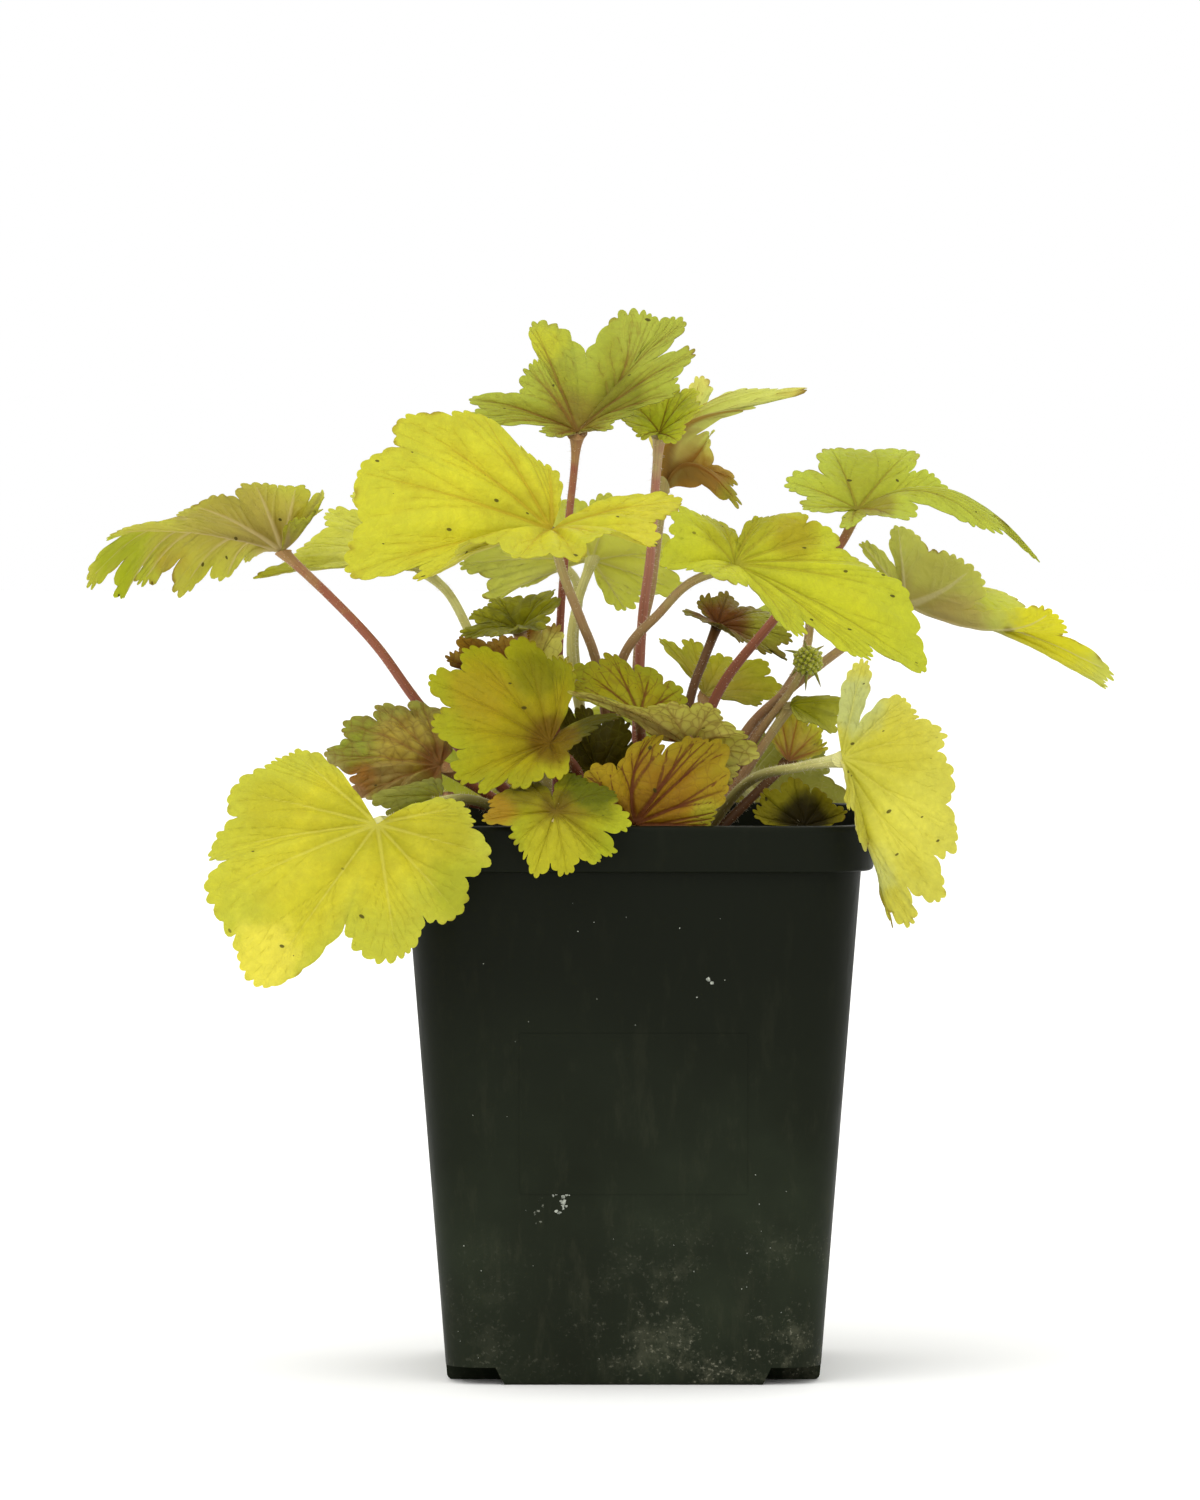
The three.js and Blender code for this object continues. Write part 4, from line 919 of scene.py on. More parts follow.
def make_blade(leaf, material):
    fine = next((times for size, times in FINER if leaf.size <= size), 1)
    edge, teeth = leaf.outline(round(TOOTH_STEPS * fine))
    whole = len(edge) - 1
    rings = max(9, round(leaf.size * fine / RING_STEP))
    scales = [1, 1 - 0.3 / rings, *(1 - (n + 1) / (rings + 1) for n in range(rings))]
    us, reaches, shares, starts, counts = [], [], [], [], []
    for scale in scales:
        count = max(24, round(whole * scale**0.7))
        spots = np.linspace(0, whole, count + 1)
        starts.append(sum(counts) + len(counts))
        counts.append(count)
        us.append(np.interp(spots, np.arange(whole + 1), edge[:, 0]))
        reaches.append(np.interp(spots, np.arange(whole + 1), edge[:, 1]) * scale)
        shares.append(np.full(count + 1, scale))
    u = np.concatenate([*us, [(leaf.lobes - 1) / 2]])
    reach = np.concatenate([*reaches, [0]])
    share = np.concatenate([*shares, [0]])
    centre = len(u) - 1

    middle, up = leaf.blade(u, reach)
    up[centre] = leaf.face_axis
    plane = leaf.flat(u, reach)
    main, side = vein_lines(leaf, teeth)
    near_main, main_scaled = distance_to(main, plane)
    near_side, side_scaled = distance_to(side, plane)
    near = np.minimum(near_main, near_side)
    calm = smooth(share, 0.02, 0.25) * (1 - 0.7 * smooth(share, 0.85, 1))
    quilt = leaf.relief * leaf.quilt * (1 - np.exp(-((near / 1.5) ** 2))) * calm
    a, b = (plane[:, :2] / (4.1, 3.7) * max(1, leaf.relief) ** 0.5).T
    crinkle = leaf.relief * leaf.crinkle * share * (
        np.sin(a + leaf.seed) * np.cos(b) + 0.6 * np.sin(1.9 * b + a) + 0.4 * np.cos(2.7 * a - b)
    ) / 1.5
    groove = 0.2 * np.exp(-((main_scaled / 1.5) ** 2)) + 0.1 * np.exp(-((side_scaled / 1.6) ** 2))
    rib = 0.42 * np.exp(-((main_scaled / 1.4) ** 2)) + 0.16 * np.exp(-((side_scaled / 1.4) ** 2))
    half = lerp(BLADE, BLADE_EDGE, smooth(share, 0.55, 1)) / 2
    fade = smooth(share, 0, 0.1) * (1 - smooth(share, 0.93, 1))
    upper = middle + up * (quilt + crinkle + half - groove * fade)[:, None]
    lower = middle + up * (quilt + crinkle - half - rib * fade)[:, None]

    face = []
    for n in range(len(scales) - 1):
        face += stitch(starts[n], counts[n], starts[n + 1], counts[n + 1])
    inner = starts[-1]
    face += [(inner + i, centre, inner + i + 1) for i in range(counts[-1])]
    rim = [centre, *(starts[n] for n in range(len(scales) - 1, 0, -1)), *range(counts[0] + 1)]
    rim += [starts[n] + counts[n] for n in range(1, len(scales))]
    under = len(u)
    faces = face + [(under + a, under + c, under + b) for a, b, c in face]
    for a, b in zip(rim, rim[1:] + rim[:1]):
        faces.append((a, b, under + b, under + a))

    veins = np.column_stack([np.minimum(main_scaled, VEIN_REACH), np.minimum(side_scaled, VEIN_REACH)])
    maps = {
        "plane": np.vstack([plane, plane]) / 10,
        "veins": np.vstack([veins, veins]) / VEIN_REACH,
        "place": np.column_stack(
            [np.concatenate([share, share]), np.concatenate([np.zeros(under), np.ones(under)])]
        ),
    }
    piece = solid_mesh(f"leaf_{leaf.name}", np.vstack([upper, lower]), faces, [material], maps, crisp=70)
    place(piece, leaf.slot, f"blade_{leaf.name}")
    return piece


# ---------------------------------------------------------------- materials


def linear(value):
    """The linear colour of a six-digit form. Any other value stays as it is."""
    if not isinstance(value, str):
        return value
    parts = [int(value[i:i + 2], 16) / 255 for i in (1, 3, 5)]
    return (*(p / 12.92 if p <= 0.04045 else ((p + 0.055) / 1.055) ** 2.4 for p in parts), 1)


class Shade:
    """Short names for the nodes of a material or a world."""

    def __init__(self, owner):
        owner.use_nodes = True
        self.owner = owner
        self.tree = owner.node_tree
        self.tree.nodes.clear()

    def node(self, kind, inputs=None, **settings):
        made = self.tree.nodes.new("ShaderNode" + kind)
        for key, value in settings.items():
            setattr(made, key, value)
        for key, value in (inputs or {}).items():
            if isinstance(value, bpy.types.NodeSocket):
                self.tree.links.new(value, made.inputs[key])
            else:
                made.inputs[key].default_value = linear(value)
        return made

    def math(self, operation, a, b):
        return self.node("Math", {0: a, 1: b}, operation=operation).outputs[0]

    def plus(self, a, b):
        return self.math("ADD", a, b)

    def minus(self, a, b):
        return self.math("SUBTRACT", a, b)

    def times(self, *values):
        made = values[0]
        for value in values[1:]:
            made = self.math("MULTIPLY", made, value)
        return made

    def span(self, value, low, high, start=0.0, end=1.0):
        """Runs smoothly from start to end while the value runs from low to high."""
        inputs = {"Value": value, "From Min": low, "From Max": high, "To Min": start, "To Max": end}
        return self.node("MapRange", inputs, interpolation_type="SMOOTHSTEP").outputs[0]

    def mix(self, share, a, b):
        return self.node("Mix", {0: share, 6: a, 7: b}, data_type="RGBA").outputs[2]

    def ramp(self, value, stops):
        made = self.node("ValToRGB", {0: value})
        elements = made.color_ramp.elements
        while len(elements) < len(stops):
            elements.new(0.5)
        for element, (spot, shade) in zip(elements, stops):
            element.position = spot
            element.color = linear(shade)
        return made.outputs[0]

    def noise(self, place, scale, detail=2.0, roughness=0.5):
        inputs = {"Vector": place, "Scale": scale, "Detail": detail, "Roughness": roughness}
        return self.node("TexNoise", inputs).outputs[0]

    def cells(self, place, scale, feature="F1"):
        return self.node("TexVoronoi", {"Vector": place, "Scale": scale}, feature=feature)

    def moved(self, place, by):
        return self.node("VectorMath", {0: place, 1: by}, operation="ADD").outputs[0]

    def stretched(self, place, by):
        return self.node("VectorMath", {0: place, 1: by}, operation="MULTIPLY").outputs[0]

    def uv(self, name):
        return self.node("UVMap", uv_map=name).outputs[0]

    def object_place(self):
        return self.node("TexCoord").outputs["Object"]

    def split(self, vector):
        return self.node("SeparateXYZ", {0: vector}).outputs

    def near(self, centre, radius, wobble):
        """1 near a place in millimetres and 0 far from it, with an uneven border."""
        flat = (1, 0.5, 1)
        away = self.node(
            "VectorMath", {0: self.stretched(self.object_place(), flat), 1: centre * flat * MM},
            operation="DISTANCE",
        ).outputs["Value"]
        away = self.plus(away, self.times(wobble, 1.2 * radius * MM))
        return self.span(away, 1.2 * radius * MM, 1.9 * radius * MM, 1, 0)

    def bump(self, height, strength, distance):
        inputs = {"Height": height, "Strength": strength, "Distance": distance}
        return self.node("Bump", inputs).outputs[0]

    def surface(self, **inputs):
        named = {key.replace("_", " "): value for key, value in inputs.items()}
        return self.node("BsdfPrincipled", named).outputs[0]

    def close(self, shader):
        self.node("OutputMaterial", {"Surface": shader})
        return self.owner


def leaf_material(leaf):
    """A veined, speckled blade. Its UV maps give the unrolled place in centimetres, the distances to
    the veins, and the share of the way to the edge with 0 or 1 for the upper or the lower side."""
    look = {**LOOK, **LEAF_LOOKS.get(leaf.name, {})}
    s = Shade(bpy.data.materials.new(f"leaf_{leaf.name}"))
    plane = s.moved(s.uv("plane"), (leaf.seed * 7.3, leaf.seed * 4.1, leaf.seed * 2.7))
    to_main, to_side, _ = s.split(s.uv("veins"))
    share, lower, _ = s.split(s.uv("place"))

    broad = s.noise(plane, 0.6, 3)
    patch = s.noise(plane, 1.5, 4, 0.6)
    mottle = s.noise(plane, 5, 5, 0.65)
    warp = s.node("TexNoise", {"Vector": plane, "Scale": 2.2, "Detail": 2.0}).outputs[1]
    bent = s.moved(plane, s.stretched(warp, (0.22, 0.22, 0)))
    net = s.cells(bent, 3.4, "DISTANCE_TO_EDGE").outputs[0]
    fine_net = s.cells(bent, 9.5, "DISTANCE_TO_EDGE").outputs[0]

    stops = [(0.08, look["ground"][0]), (0.5, look["ground"][1]), (0.95, look["ground"][2])]
    spot = s.plus(share, s.times(s.minus(broad, 0.5), 0.8))
    ground = s.ramp(spot, stops)
    blotch, blotched = look["blotch"]
    ground = s.mix(s.times(s.span(patch, 0.48, 0.68), blotched), ground, blotch)
    under = s.mix(0.35, look["under"], ground)
    # tints about places, some of them painted shade
    for offset, radius, tint, strength in look["patches"]:
        inside = s.times(s.near(leaf.origin + offset, radius, patch), strength)
        ground = s.mix(inside, ground, tint)
        under = s.mix(inside, under, tint)
    pale = s.span(mottle, 0.35, 0.75, 0.94, 1.05)
    ground = s.node("HueSaturation", {"Value": pale, "Color": ground}).outputs[0]
    # painted shade in the creases between the puckered cells, in the veins' colour, which also draws a net of
    # veins
    fold_shade_and_net = s.times(s.span(net, 0.0, 0.3, 1, 0), look["puckered"])
    ground = s.mix(fold_shade_and_net, ground, look["side"])
    under = s.mix(fold_shade_and_net, under, look["under_vein"])

    main_line = s.span(to_main, 0.03, 1.5 / VEIN_REACH, 1, 0)
    side_line = s.span(to_side, 0.03, 1.6 / VEIN_REACH, 1, 0)
    net_line = s.span(net, 0.0, 0.07, 1, 0)
    halo, stained = look["halo"]
    near = s.math("MAXIMUM", s.span(to_main, 0, 0.8, 1, 0), s.span(to_side, 0, 0.5, 0.7, 0))
    stain = s.times(near, s.span(patch, 0.3, 0.65, 0.4, 1), s.span(share, 0.35, 1.0, 1, 0.35), stained)
    upper = s.mix(stain, ground, halo)
    on_main, on_side, on_net = look["veined"]
    upper = s.mix(s.times(net_line, on_net), upper, look["side"])
    upper = s.mix(s.times(side_line, on_side), upper, look["side"])
    upper = s.mix(s.times(main_line, on_main, s.span(share, 0.5, 1.0, 1, 0.45)), upper, look["main"])

    rib, branch = look["ribbed"]
    # painted shade beside the raised main veins of the lower side
    shadow, shadowed = look["shaded"]
    beside = s.times(s.span(to_main, 0.1, 0.7, 1, 0), s.span(share, 0.15, 0.65, 1, 0), shadowed)
    under = s.mix(beside, under, shadow)
    under = s.mix(s.times(net_line, 0.8 * on_net), under, look["under_vein"])
    under = s.mix(s.times(side_line, branch), under, look["under_vein"])
    under = s.mix(s.times(main_line, rib), under, look["under_vein"])
    shade = s.mix(lower, upper, under)

    # dark specks, each in a random few of the cells, and small brown bites along the edge
    spots = s.node(
        "TexVoronoi", {"Vector": s.stretched(plane, (1, 0.6, 1)), "Scale": 1.8}, voronoi_dimensions="2D",
    )
    picked = s.span(s.split(spots.outputs[1])[0], 0.94 - 0.5 * look["specks"], 0.96 - 0.5 * look["specks"])
    size = s.span(s.split(spots.outputs[1])[1], 0.1, 1, 0.016, 0.075)
    edge = s.minus(size, spots.outputs[0])
    speck = s.times(s.span(edge, 0.0, 0.015), picked)
    shade = s.mix(s.times(speck, 0.85), shade, "#4a4216")
    dry = s.times(s.span(share, 0.965, 1.0), s.span(patch, 0.5, 0.7), 0.6)
    shade = s.mix(dry, shade, "#8a6426")

    cushion = s.span(net, 0.0, 0.3)
    grain = s.noise(plane, 26, 2)
    height = s.plus(s.times(cushion, 0.7), s.times(s.span(fine_net, 0, 0.25), 0.25))
    height = s.plus(height, s.times(grain, 0.2))
    height = s.minus(height, s.math("MAXIMUM", main_line, side_line))
    height = s.times(height, s.span(lower, 0, 1, 1, -1))
    relief = s.bump(height, 0.5, 0.0003)
    rough = s.plus(s.span(mottle, 0.3, 0.7, 0.42, 0.55), s.times(lower, 0.15))
    skin = s.surface(
        Base_Color=shade, Roughness=rough, Normal=relief, Specular_IOR_Level=0.14,
        Sheen_Weight=0.03, Sheen_Roughness=0.45,
    )
    through = s.node("HueSaturation", {"Saturation": 1.12, "Value": 1.35, "Color": shade}).outputs[0]
    light = s.node("BsdfTranslucent", {"Color": through, "Normal": relief}).outputs[0]
    return s.close(s.node("MixShader", {0: look["glow"], 1: skin, 2: light}).outputs[0])


def stalk_material(name, shades):
    """A fleshy stalk: shades run from its foot to its end, with fine streaks along it."""
    s = Shade(bpy.data.materials.new(name))
    run = s.uv("run")
    along = s.split(run)[0]
    streaks = s.noise(s.stretched(run, (3, 26, 1)), 1, 4, 0.6)
    blotches = s.noise(s.object_place(), 260, 3)
    spot = s.plus(along, s.times(s.minus(blotches, 0.5), 0.5))
    ground = s.ramp(spot, [(share, shade) for share, shade in shades])
    value = s.span(streaks, 0.3, 0.7, 0.82, 1.14)
    shade = s.node("HueSaturation", {"Value": value, "Color": ground}).outputs[0]
    pores = s.noise(s.object_place(), 2400, 2)
    height = s.plus(streaks, s.times(pores, 0.4))
    return s.close(s.surface(
        Base_Color=shade, Roughness=s.span(streaks, 0.3, 0.7, 0.42, 0.58), Specular_IOR_Level=0.35,
        Normal=s.bump(height, 0.5, 0.0002), Sheen_Weight=0.08, Sheen_Roughness=0.4,
        Subsurface_Weight=0.1, Subsurface_Radius=(0.002, 0.001, 0.0005), Subsurface_Scale=0.5,
    ))


def hair_material():
    s = Shade(bpy.data.materials.new("hair"))
    shine = s.noise(s.object_place(), 900, 2)
    shade = s.ramp(shine, [(0.3, "#e8dcc0"), (0.7, "#f2ecdc")])
    skin = s.surface(Base_Color=shade, Roughness=0.5, Specular_IOR_Level=0.4)
    light = s.node("BsdfTranslucent", {"Color": shade}).outputs[0]
    return s.close(s.node("MixShader", {0: 0.5, 1: skin, 2: light}).outputs[0])


def crumb_material(name, dark, mid, light):
    """Damp, crumbly matter in three shades."""
    s = Shade(bpy.data.materials.new(name))
    place = s.object_place()
    clump = s.noise(place, 160, 4, 0.6)
    grit = s.noise(place, 1300, 4, 0.7)
    blend = s.plus(s.times(clump, 0.6), s.times(grit, 0.4))
    shade = s.ramp(blend, [(0.36, dark), (0.5, mid), (0.66, light)])
    return s.close(s.surface(
        Base_Color=shade, Roughness=s.span(grit, 0.3, 0.7, 0.75, 0.98), Specular_IOR_Level=0.3,
        Normal=s.bump(blend, 0.8, 0.0008),
    ))


def pot_material():
    """Near-black plastic with a trace of green, fine wear, dust near the foot and a few pale splashes."""
    s = Shade(bpy.data.materials.new("pot_plastic"))
    place = s.object_place()
    x, _, z = s.split(place)
    cloud = s.noise(place, 22, 4, 0.55)
    wear = s.noise(s.stretched(place, (1, 1, 0.25)), 240, 5, 0.7)
    speckle = s.noise(place, 1100, 3, 0.6)
    shade = s.ramp(cloud, [(0.35, "#181c12"), (0.55, "#1e2318"), (0.7, "#252b1e")])
    shade = s.mix(s.span(z, 0.04, 0.1), shade, "#12150d")
    tan = s.times(s.span(wear, 0.5, 0.72), s.span(z, 0.0, 0.12, 0.25, 0.05))
    shade = s.mix(tan, shade, "#3c3c2e")

    # dust that lies on the lower right of the front and thinly round the rest of the foot
    drift = s.noise(place, 70, 6, 0.75)
    low = s.span(z, 0.0, 0.045, 1, 0)
    right = s.span(x, -0.02, 0.022, 0.25, 1)
    dust = s.times(s.span(drift, 0.5, 0.66), low, right)
    grains = s.times(s.span(speckle, 0.56, 0.7), s.span(drift, 0.44, 0.6), low, right)
    shade = s.mix(s.times(dust, 0.22), shade, "#7c7a66")
    shade = s.mix(s.times(grains, 0.35), shade, "#a8a590")

    # scratches and pale splashes, each picked at random
    streaked = s.cells(s.stretched(place, (1, 1, 0.3)), 95)
    picked = s.span(s.split(streaked.outputs[1])[0], 0.86, 0.88)
    torn = s.plus(streaked.outputs[0], s.times(s.minus(speckle, 0.5), 0.5))
    mark = s.times(s.span(torn, 0.05, 0.12, 1, 0), picked, s.span(s.noise(place, 30, 2), 0.45, 0.6))
    shade = s.mix(s.times(mark, 0.8), shade, "#8f9184")

    rough = s.plus(s.span(wear, 0.3, 0.7, 0.4, 0.56), s.times(dust, 0.3))
    height = s.plus(s.times(wear, 0.35), s.times(speckle, 0.25))
    return s.close(s.surface(
        Base_Color=shade, Roughness=rough, Specular_IOR_Level=0.06,
        Normal=s.bump(height, 0.25, 0.0002),
    ))


def splash_material():
    s = Shade(bpy.data.materials.new("lime_splash"))
    chalk = s.noise(s.object_place(), 1500, 3)
    shade = s.ramp(chalk, [(0.35, "#6c7068"), (0.6, "#a4a89c")])
    return s.close(s.surface(Base_Color=shade, Roughness=0.9, Normal=s.bump(chalk, 0.5, 0.0002)))


def floor_material():
    s = Shade(bpy.data.materials.new("pale_floor"))
    soft = s.noise(s.object_place(), 1.5, 3)
    shade = s.ramp(soft, [(0.3, (0.9, 0.9, 0.9, 1)), (0.7, (0.92, 0.92, 0.92, 1))])
    return s.close(s.surface(Base_Color=shade, Roughness=0.9, Specular_IOR_Level=0.1))


# ---------------------------------------------------------------- crown and petioles

STALKS = dict(  # the shades of each kind of stalk, from its foot to its blade
    red=[(0.05, "#64301f"), (0.3, "#85472f"), (0.8, "#8f5238"), (1, "#a07a48")],
    tan=[(0.05, "#744630"), (0.35, "#8f6646"), (0.75, "#9c7e52"), (1, "#a89a5c")],
    pink=[(0.05, "#743e2a"), (0.4, "#945440"), (0.8, "#a5705a"), (1, "#b09a68")],
    pale=[(0.05, "#80703c"), (0.4, "#9a9250"), (0.8, "#aca65e"), (1, "#c4c07a")],
    # dark: a dark red-brown stalk, kept this dark also as painted shade for a stalk that stands in shadow
    dark=[(0.05, "#3c2410"), (0.5, "#5c3818"), (1, "#644018")],
)
HAIR = len(STALKS)
SHEATH = HAIR + 1
PETIOLE_SIDES = 12
PETIOLE_STEP = 1.3  # distance between the rings of points along a petiole
PETIOLE_TAPER = 1.45  # how many times as thick the foot of a petiole is
PETIOLE_GROOVE = 0.12  # depth of the groove along a petiole, as a share of its radius
SEAT_REACH = 6  # how near the blade a stalk is kept below it
HAIRS_A_RING = 7  # hairs for each ring of points of a petiole
HAIR_LENGTH = 0.85
CROWN_SIDES = 72
SHEATHS = 46
SHEATH_TURN = 2.4  # radians round the crown from one sheath to the next


def petiole_path(leaf):
    """The petiole from the crown up to the under side of its blade."""
    path = [leaf.base, *leaf.via, leaf.origin - leaf.face_axis * BLADE * 0.4]
    length = sum(math.dist(a, b) for a, b in zip(path, path[1:]))
    return smooth_path(path, max(12, round(length / PETIOLE_STEP)))


def petiole_radii(leaf, path):
    """The stalk is thicker at its foot, and flares where it runs into the veins of the blade."""
    run = run_along(path)
    radii = leaf.stalk * (1 + (PETIOLE_TAPER - 1) * (1 - run / run[-1]) ** 2)
    wider, reach = leaf.flare
    return radii * (1 + wider * np.exp((run - run[-1]) / reach))


def seat(points, sides, path, face):
    """Slants the end of a stalk to the blade that faces along face, and keeps it below the blade."""
    way = unit(path[-1] - path[-2])
    ring = points[-2 - sides:-2]
    ring -= np.outer((ring - path[-1]) @ face / max(way @ face, 0.5), way)
    near = 1 - smooth(np.linalg.norm(points - path[-1], axis=1), 0.4 * SEAT_REACH, SEAT_REACH)
    points -= np.outer(np.maximum((points - path[-1]) @ face, 0) * near, face)


def make_stems(leaves):
    build = Build()
    kinds = list(STALKS)
    for leaf in leaves:
        path = petiole_path(leaf)
        radii = petiole_radii(leaf, path)
        points, faces, uv = tube(path, radii, PETIOLE_SIDES, PETIOLE_GROOVE)
        seat(points, PETIOLE_SIDES, path, leaf.face_axis)
        build.add(points, faces, kinds.index(leaf.petiole), uv)
        hairs(build, path, radii, len(path) * HAIRS_A_RING, HAIR_LENGTH, HAIR, leaf.seed)
    stalk = smooth_path([*BUD["stalk"], BUD["at"]], 28)
    radii = np.linspace(1.3, 0.75, len(stalk))
    points, faces, uv = tube(stalk, radii, 10)
    build.add(points, faces, kinds.index("tan"), uv)
    hairs(build, stalk, radii, 320, 0.8, HAIR, 77)
    make_crown(build)
    piece = build.finish(
        "crown_and_petioles",
        [
            *(stalk_material(f"petiole_{kind}", shades) for kind, shades in STALKS.items()),
            hair_material(),
            crumb_material("crown_sheaths", "#3a2415", "#5a3a22", "#7d5a38"),
        ],
    )
    place(piece, "petiole", "crown_and_petioles")


def make_crown(build):
    """A lumpy woody crown in its hole, with papery brown sheaths at the feet of the petioles."""
    foot = SOIL_TOP - HOLE_DEPTH + SOIL_GAP
    profile = [
        (0.5, foot), (HOLE_RADIUS - 3, foot), (HOLE_RADIUS - 1.2, foot + 2), (HOLE_RADIUS - 1.2, SOIL_TOP),
        (HOLE_RADIUS - 2, SOIL_TOP + 2), (17, 118), (14, 120), (10, 121.3), (5, CROWN_TOP), (0.5, CROWN_TOP),
    ]
    rings = []
    for radius, z in profile:
        ring = []
        for i in range(CROWN_SIDES):
            angle = 2 * math.pi * i / CROWN_SIDES
            lump = noise.noise((math.cos(angle) * 2.2, math.sin(angle) * 2.2, z * 0.35))
            far = min(radius * (1 + 0.09 * lump), HOLE_RADIUS - SOIL_GAP)
            ring.append((far * math.cos(angle), far * math.sin(angle), z + 0.8 * lump * (z > SOIL_TOP)))
        rings.append(ring)
    build.add(*loft(rings), SHEATH)
    rng = np.random.default_rng(12)
    for n in range(SHEATHS):
        angle = n * SHEATH_TURN
        far = 4 + 14 * ((n + 0.5) / SHEATHS) ** 0.6
        root = np.array([far * math.cos(angle), far * math.sin(angle), 119 - 0.16 * (far - 4)])
        lean = unit(np.array([math.cos(angle) * far / 18, math.sin(angle) * far / 18, 1.0]))
        length = rng.uniform(4, 9)
        bend = np.array([math.cos(angle), math.sin(angle), -0.4]) * rng.uniform(0.5, 2.2)
        path = smooth_path([root, root + lean * length * 0.5, root + lean * length + bend], 7)
        radii = rng.uniform(1.2, 2.0) * np.array([1, 1.15, 1.1, 0.95, 0.75, 0.5, 0.28, 0.06])
        points, faces, uv = tube(path, radii, 9)
        across, _ = frames_along(path)
        flat = points - root
        flat -= np.outer(flat @ across[0], across[0]) * 0.55
        build.add(flat + root, faces, SHEATH, uv)


# ---------------------------------------------------------------- pot


def rounded_square(half, radius, z):
    """Points round a square with rounded corners, counter-clockwise from above."""
    arcs = []
    for corner in range(4):
        turn = math.radians(90 * corner + 45)
        cx = math.copysign(half - radius, math.cos(turn))
        cy = math.copysign(half - radius, math.sin(turn))
        angles = np.radians(90 * corner + 90 * np.arange(CORNER_STEPS + 1) / CORNER_STEPS)
        arcs.append([np.array([cx + radius * math.cos(a), cy + radius * math.sin(a), z]) for a in angles])
    ring = []
    for arc, following in zip(arcs, arcs[1:] + arcs[:1]):
        ring += [*arc, *(lerp(arc[-1], following[0], share) for share in (0.2, 0.4, 0.6, 0.8))]
    return ring


BASE_EDGE = 1.2  # radius of the edge round the base


def pot_section(z, inset=0.0):
    share = z / (POT_HEIGHT - POT_RIM_BAND)
    half = lerp(POT_BASE_WIDTH, POT_TOP_WIDTH, share) / 2
    corner = lerp(POT_BASE_CORNER, POT_TOP_CORNER, share)
    return rounded_square(half - inset, corner - inset, z)


def corner_block(height, inner, sx, sy):
    """A block under one corner of the base, up to height, whose inner faces lean."""
    far = POT_BASE_WIDTH
    rings = []
    for start, z in ((inner - FOOT_LEAN, -1), (inner, height)):
        ring = [(sx * x, sy * y, z) for x, y in ((start, start), (far, start), (far, far), (start, far))]
        rings.append(ring if sx * sy > 0 else ring[::-1])
    return loft(rings)


def cut(piece, tool_points, tool_faces, operation="DIFFERENCE"):
    """Joins or cuts the piece with a solid, which is then removed."""
    tool = solid_mesh("tool", tool_points, tool_faces, [])
    step = piece.modifiers.new("cut", "BOOLEAN")
    step.operation, step.object, step.solver = operation, tool, "MANIFOLD"
    with bpy.context.temp_override(object=piece, active_object=piece):
        bpy.ops.object.modifier_apply(modifier=step.name)
    bpy.data.objects.remove(tool)


def make_pot(material):
    band = POT_HEIGHT - POT_RIM_BAND

    def rim(inset, rounder, z):
        return rounded_square(POT_RIM_WIDTH / 2 - inset, POT_TOP_CORNER + rounder, z)

    rings = [rounded_square(POT_BASE_WIDTH / 2 - BASE_EDGE, POT_BASE_CORNER - BASE_EDGE, 0)]
    for turn in np.radians((30, 60, 90)):
        rings.append(pot_section(BASE_EDGE * (1 - math.cos(turn)), BASE_EDGE * (1 - math.sin(turn))))
    rings += [pot_section(z) for z in (FOOT_HEIGHT - 0.3, FOOT_HEIGHT + 0.1)]
    rings += [pot_section(z) for z in np.linspace(FOOT_HEIGHT + 0.5, band - 1.2, 24)]
    rings += [
        pot_section(band - 0.35),
        rim(1.0, 0.6, band - 0.15),
        rim(0.45, 1.1, band + 0.15),
        rim(0.25, 1.3, band + 0.6),
        rim(0.05, 1.5, band + 5),
        rim(0, 1.5, POT_HEIGHT - 2.0),
        rim(-0.2, 1.7, POT_HEIGHT - 1.6),
        rim(-0.2, 1.7, POT_HEIGHT - 0.8),
        rim(0.1, 1.4, POT_HEIGHT - 0.25),
        rim(0.7, 0.9, POT_HEIGHT),
        rim(1.8, -0.2, POT_HEIGHT),
        rim(2.4, -0.8, POT_HEIGHT - 0.3),
        rim(2.7, -1.1, POT_HEIGHT - 1),
        pot_section(band + 2, POT_WALL),
        pot_section(band - 6, POT_WALL),
        pot_section(POT_FLOOR + 1.5, POT_WALL),
        pot_section(POT_FLOOR, POT_WALL + 1.5),
    ]
    pot = solid_mesh("pot", *loft(rings), [material])
    for sx, sy in ((1, 1), (-1, 1), (-1, -1), (1, -1)):
        inner = FOOT_HALF_WIDTH - POT_WALL
        step = solid_mesh("step", *corner_block(FOOT_HEIGHT + POT_FLOOR, inner, sx, sy), [material])
        inside = loft([pot_section(0.1, POT_WALL / 2), pot_section(20, POT_WALL / 2)])
        cut(step, *inside, "INTERSECT")
        points = [tuple(v.co / MM) for v in step.data.vertices]
        faces = [tuple(p.vertices) for p in step.data.polygons]
        bpy.data.objects.remove(step)
        cut(pot, points, faces, "UNION")
        cut(pot, *corner_block(FOOT_HEIGHT, FOOT_HALF_WIDTH, sx, sy))
        turns = np.linspace(0, 2 * math.pi, DRAIN_SIDES + 1)[:-1]
        x = sx * DRAIN_PLACE + DRAIN_RADIUS * np.cos(turns)
        y = sy * DRAIN_PLACE + DRAIN_RADIUS * np.sin(turns)
        cut(pot, *loft([np.column_stack([x, y, np.full(DRAIN_SIDES, z)]) for z in (-3, 9)]))
    pot.data.shade_smooth()
    pot.data.set_sharp_from_angle(angle=math.radians(35))
    place(pot, "pot_plastic", "pot")


LABEL_HALF_WIDTH = 26
LABEL_LOW = 44
LABEL_HIGH = 81
LABEL_RAISED = 0.2
SPLASHES = 26  # about one spot
DROPS = 50  # anywhere on the front wall
SPLASH_SIDES = 9
BIG_SPLASHES = [  # x, z and size
    (-15.2, 46.6, 1.0), (-14.4, 45.8, 0.8), (-15.9, 42.2, 0.7), (17.0, 93.4, 0.6), (17.8, 92.6, 0.5),
]


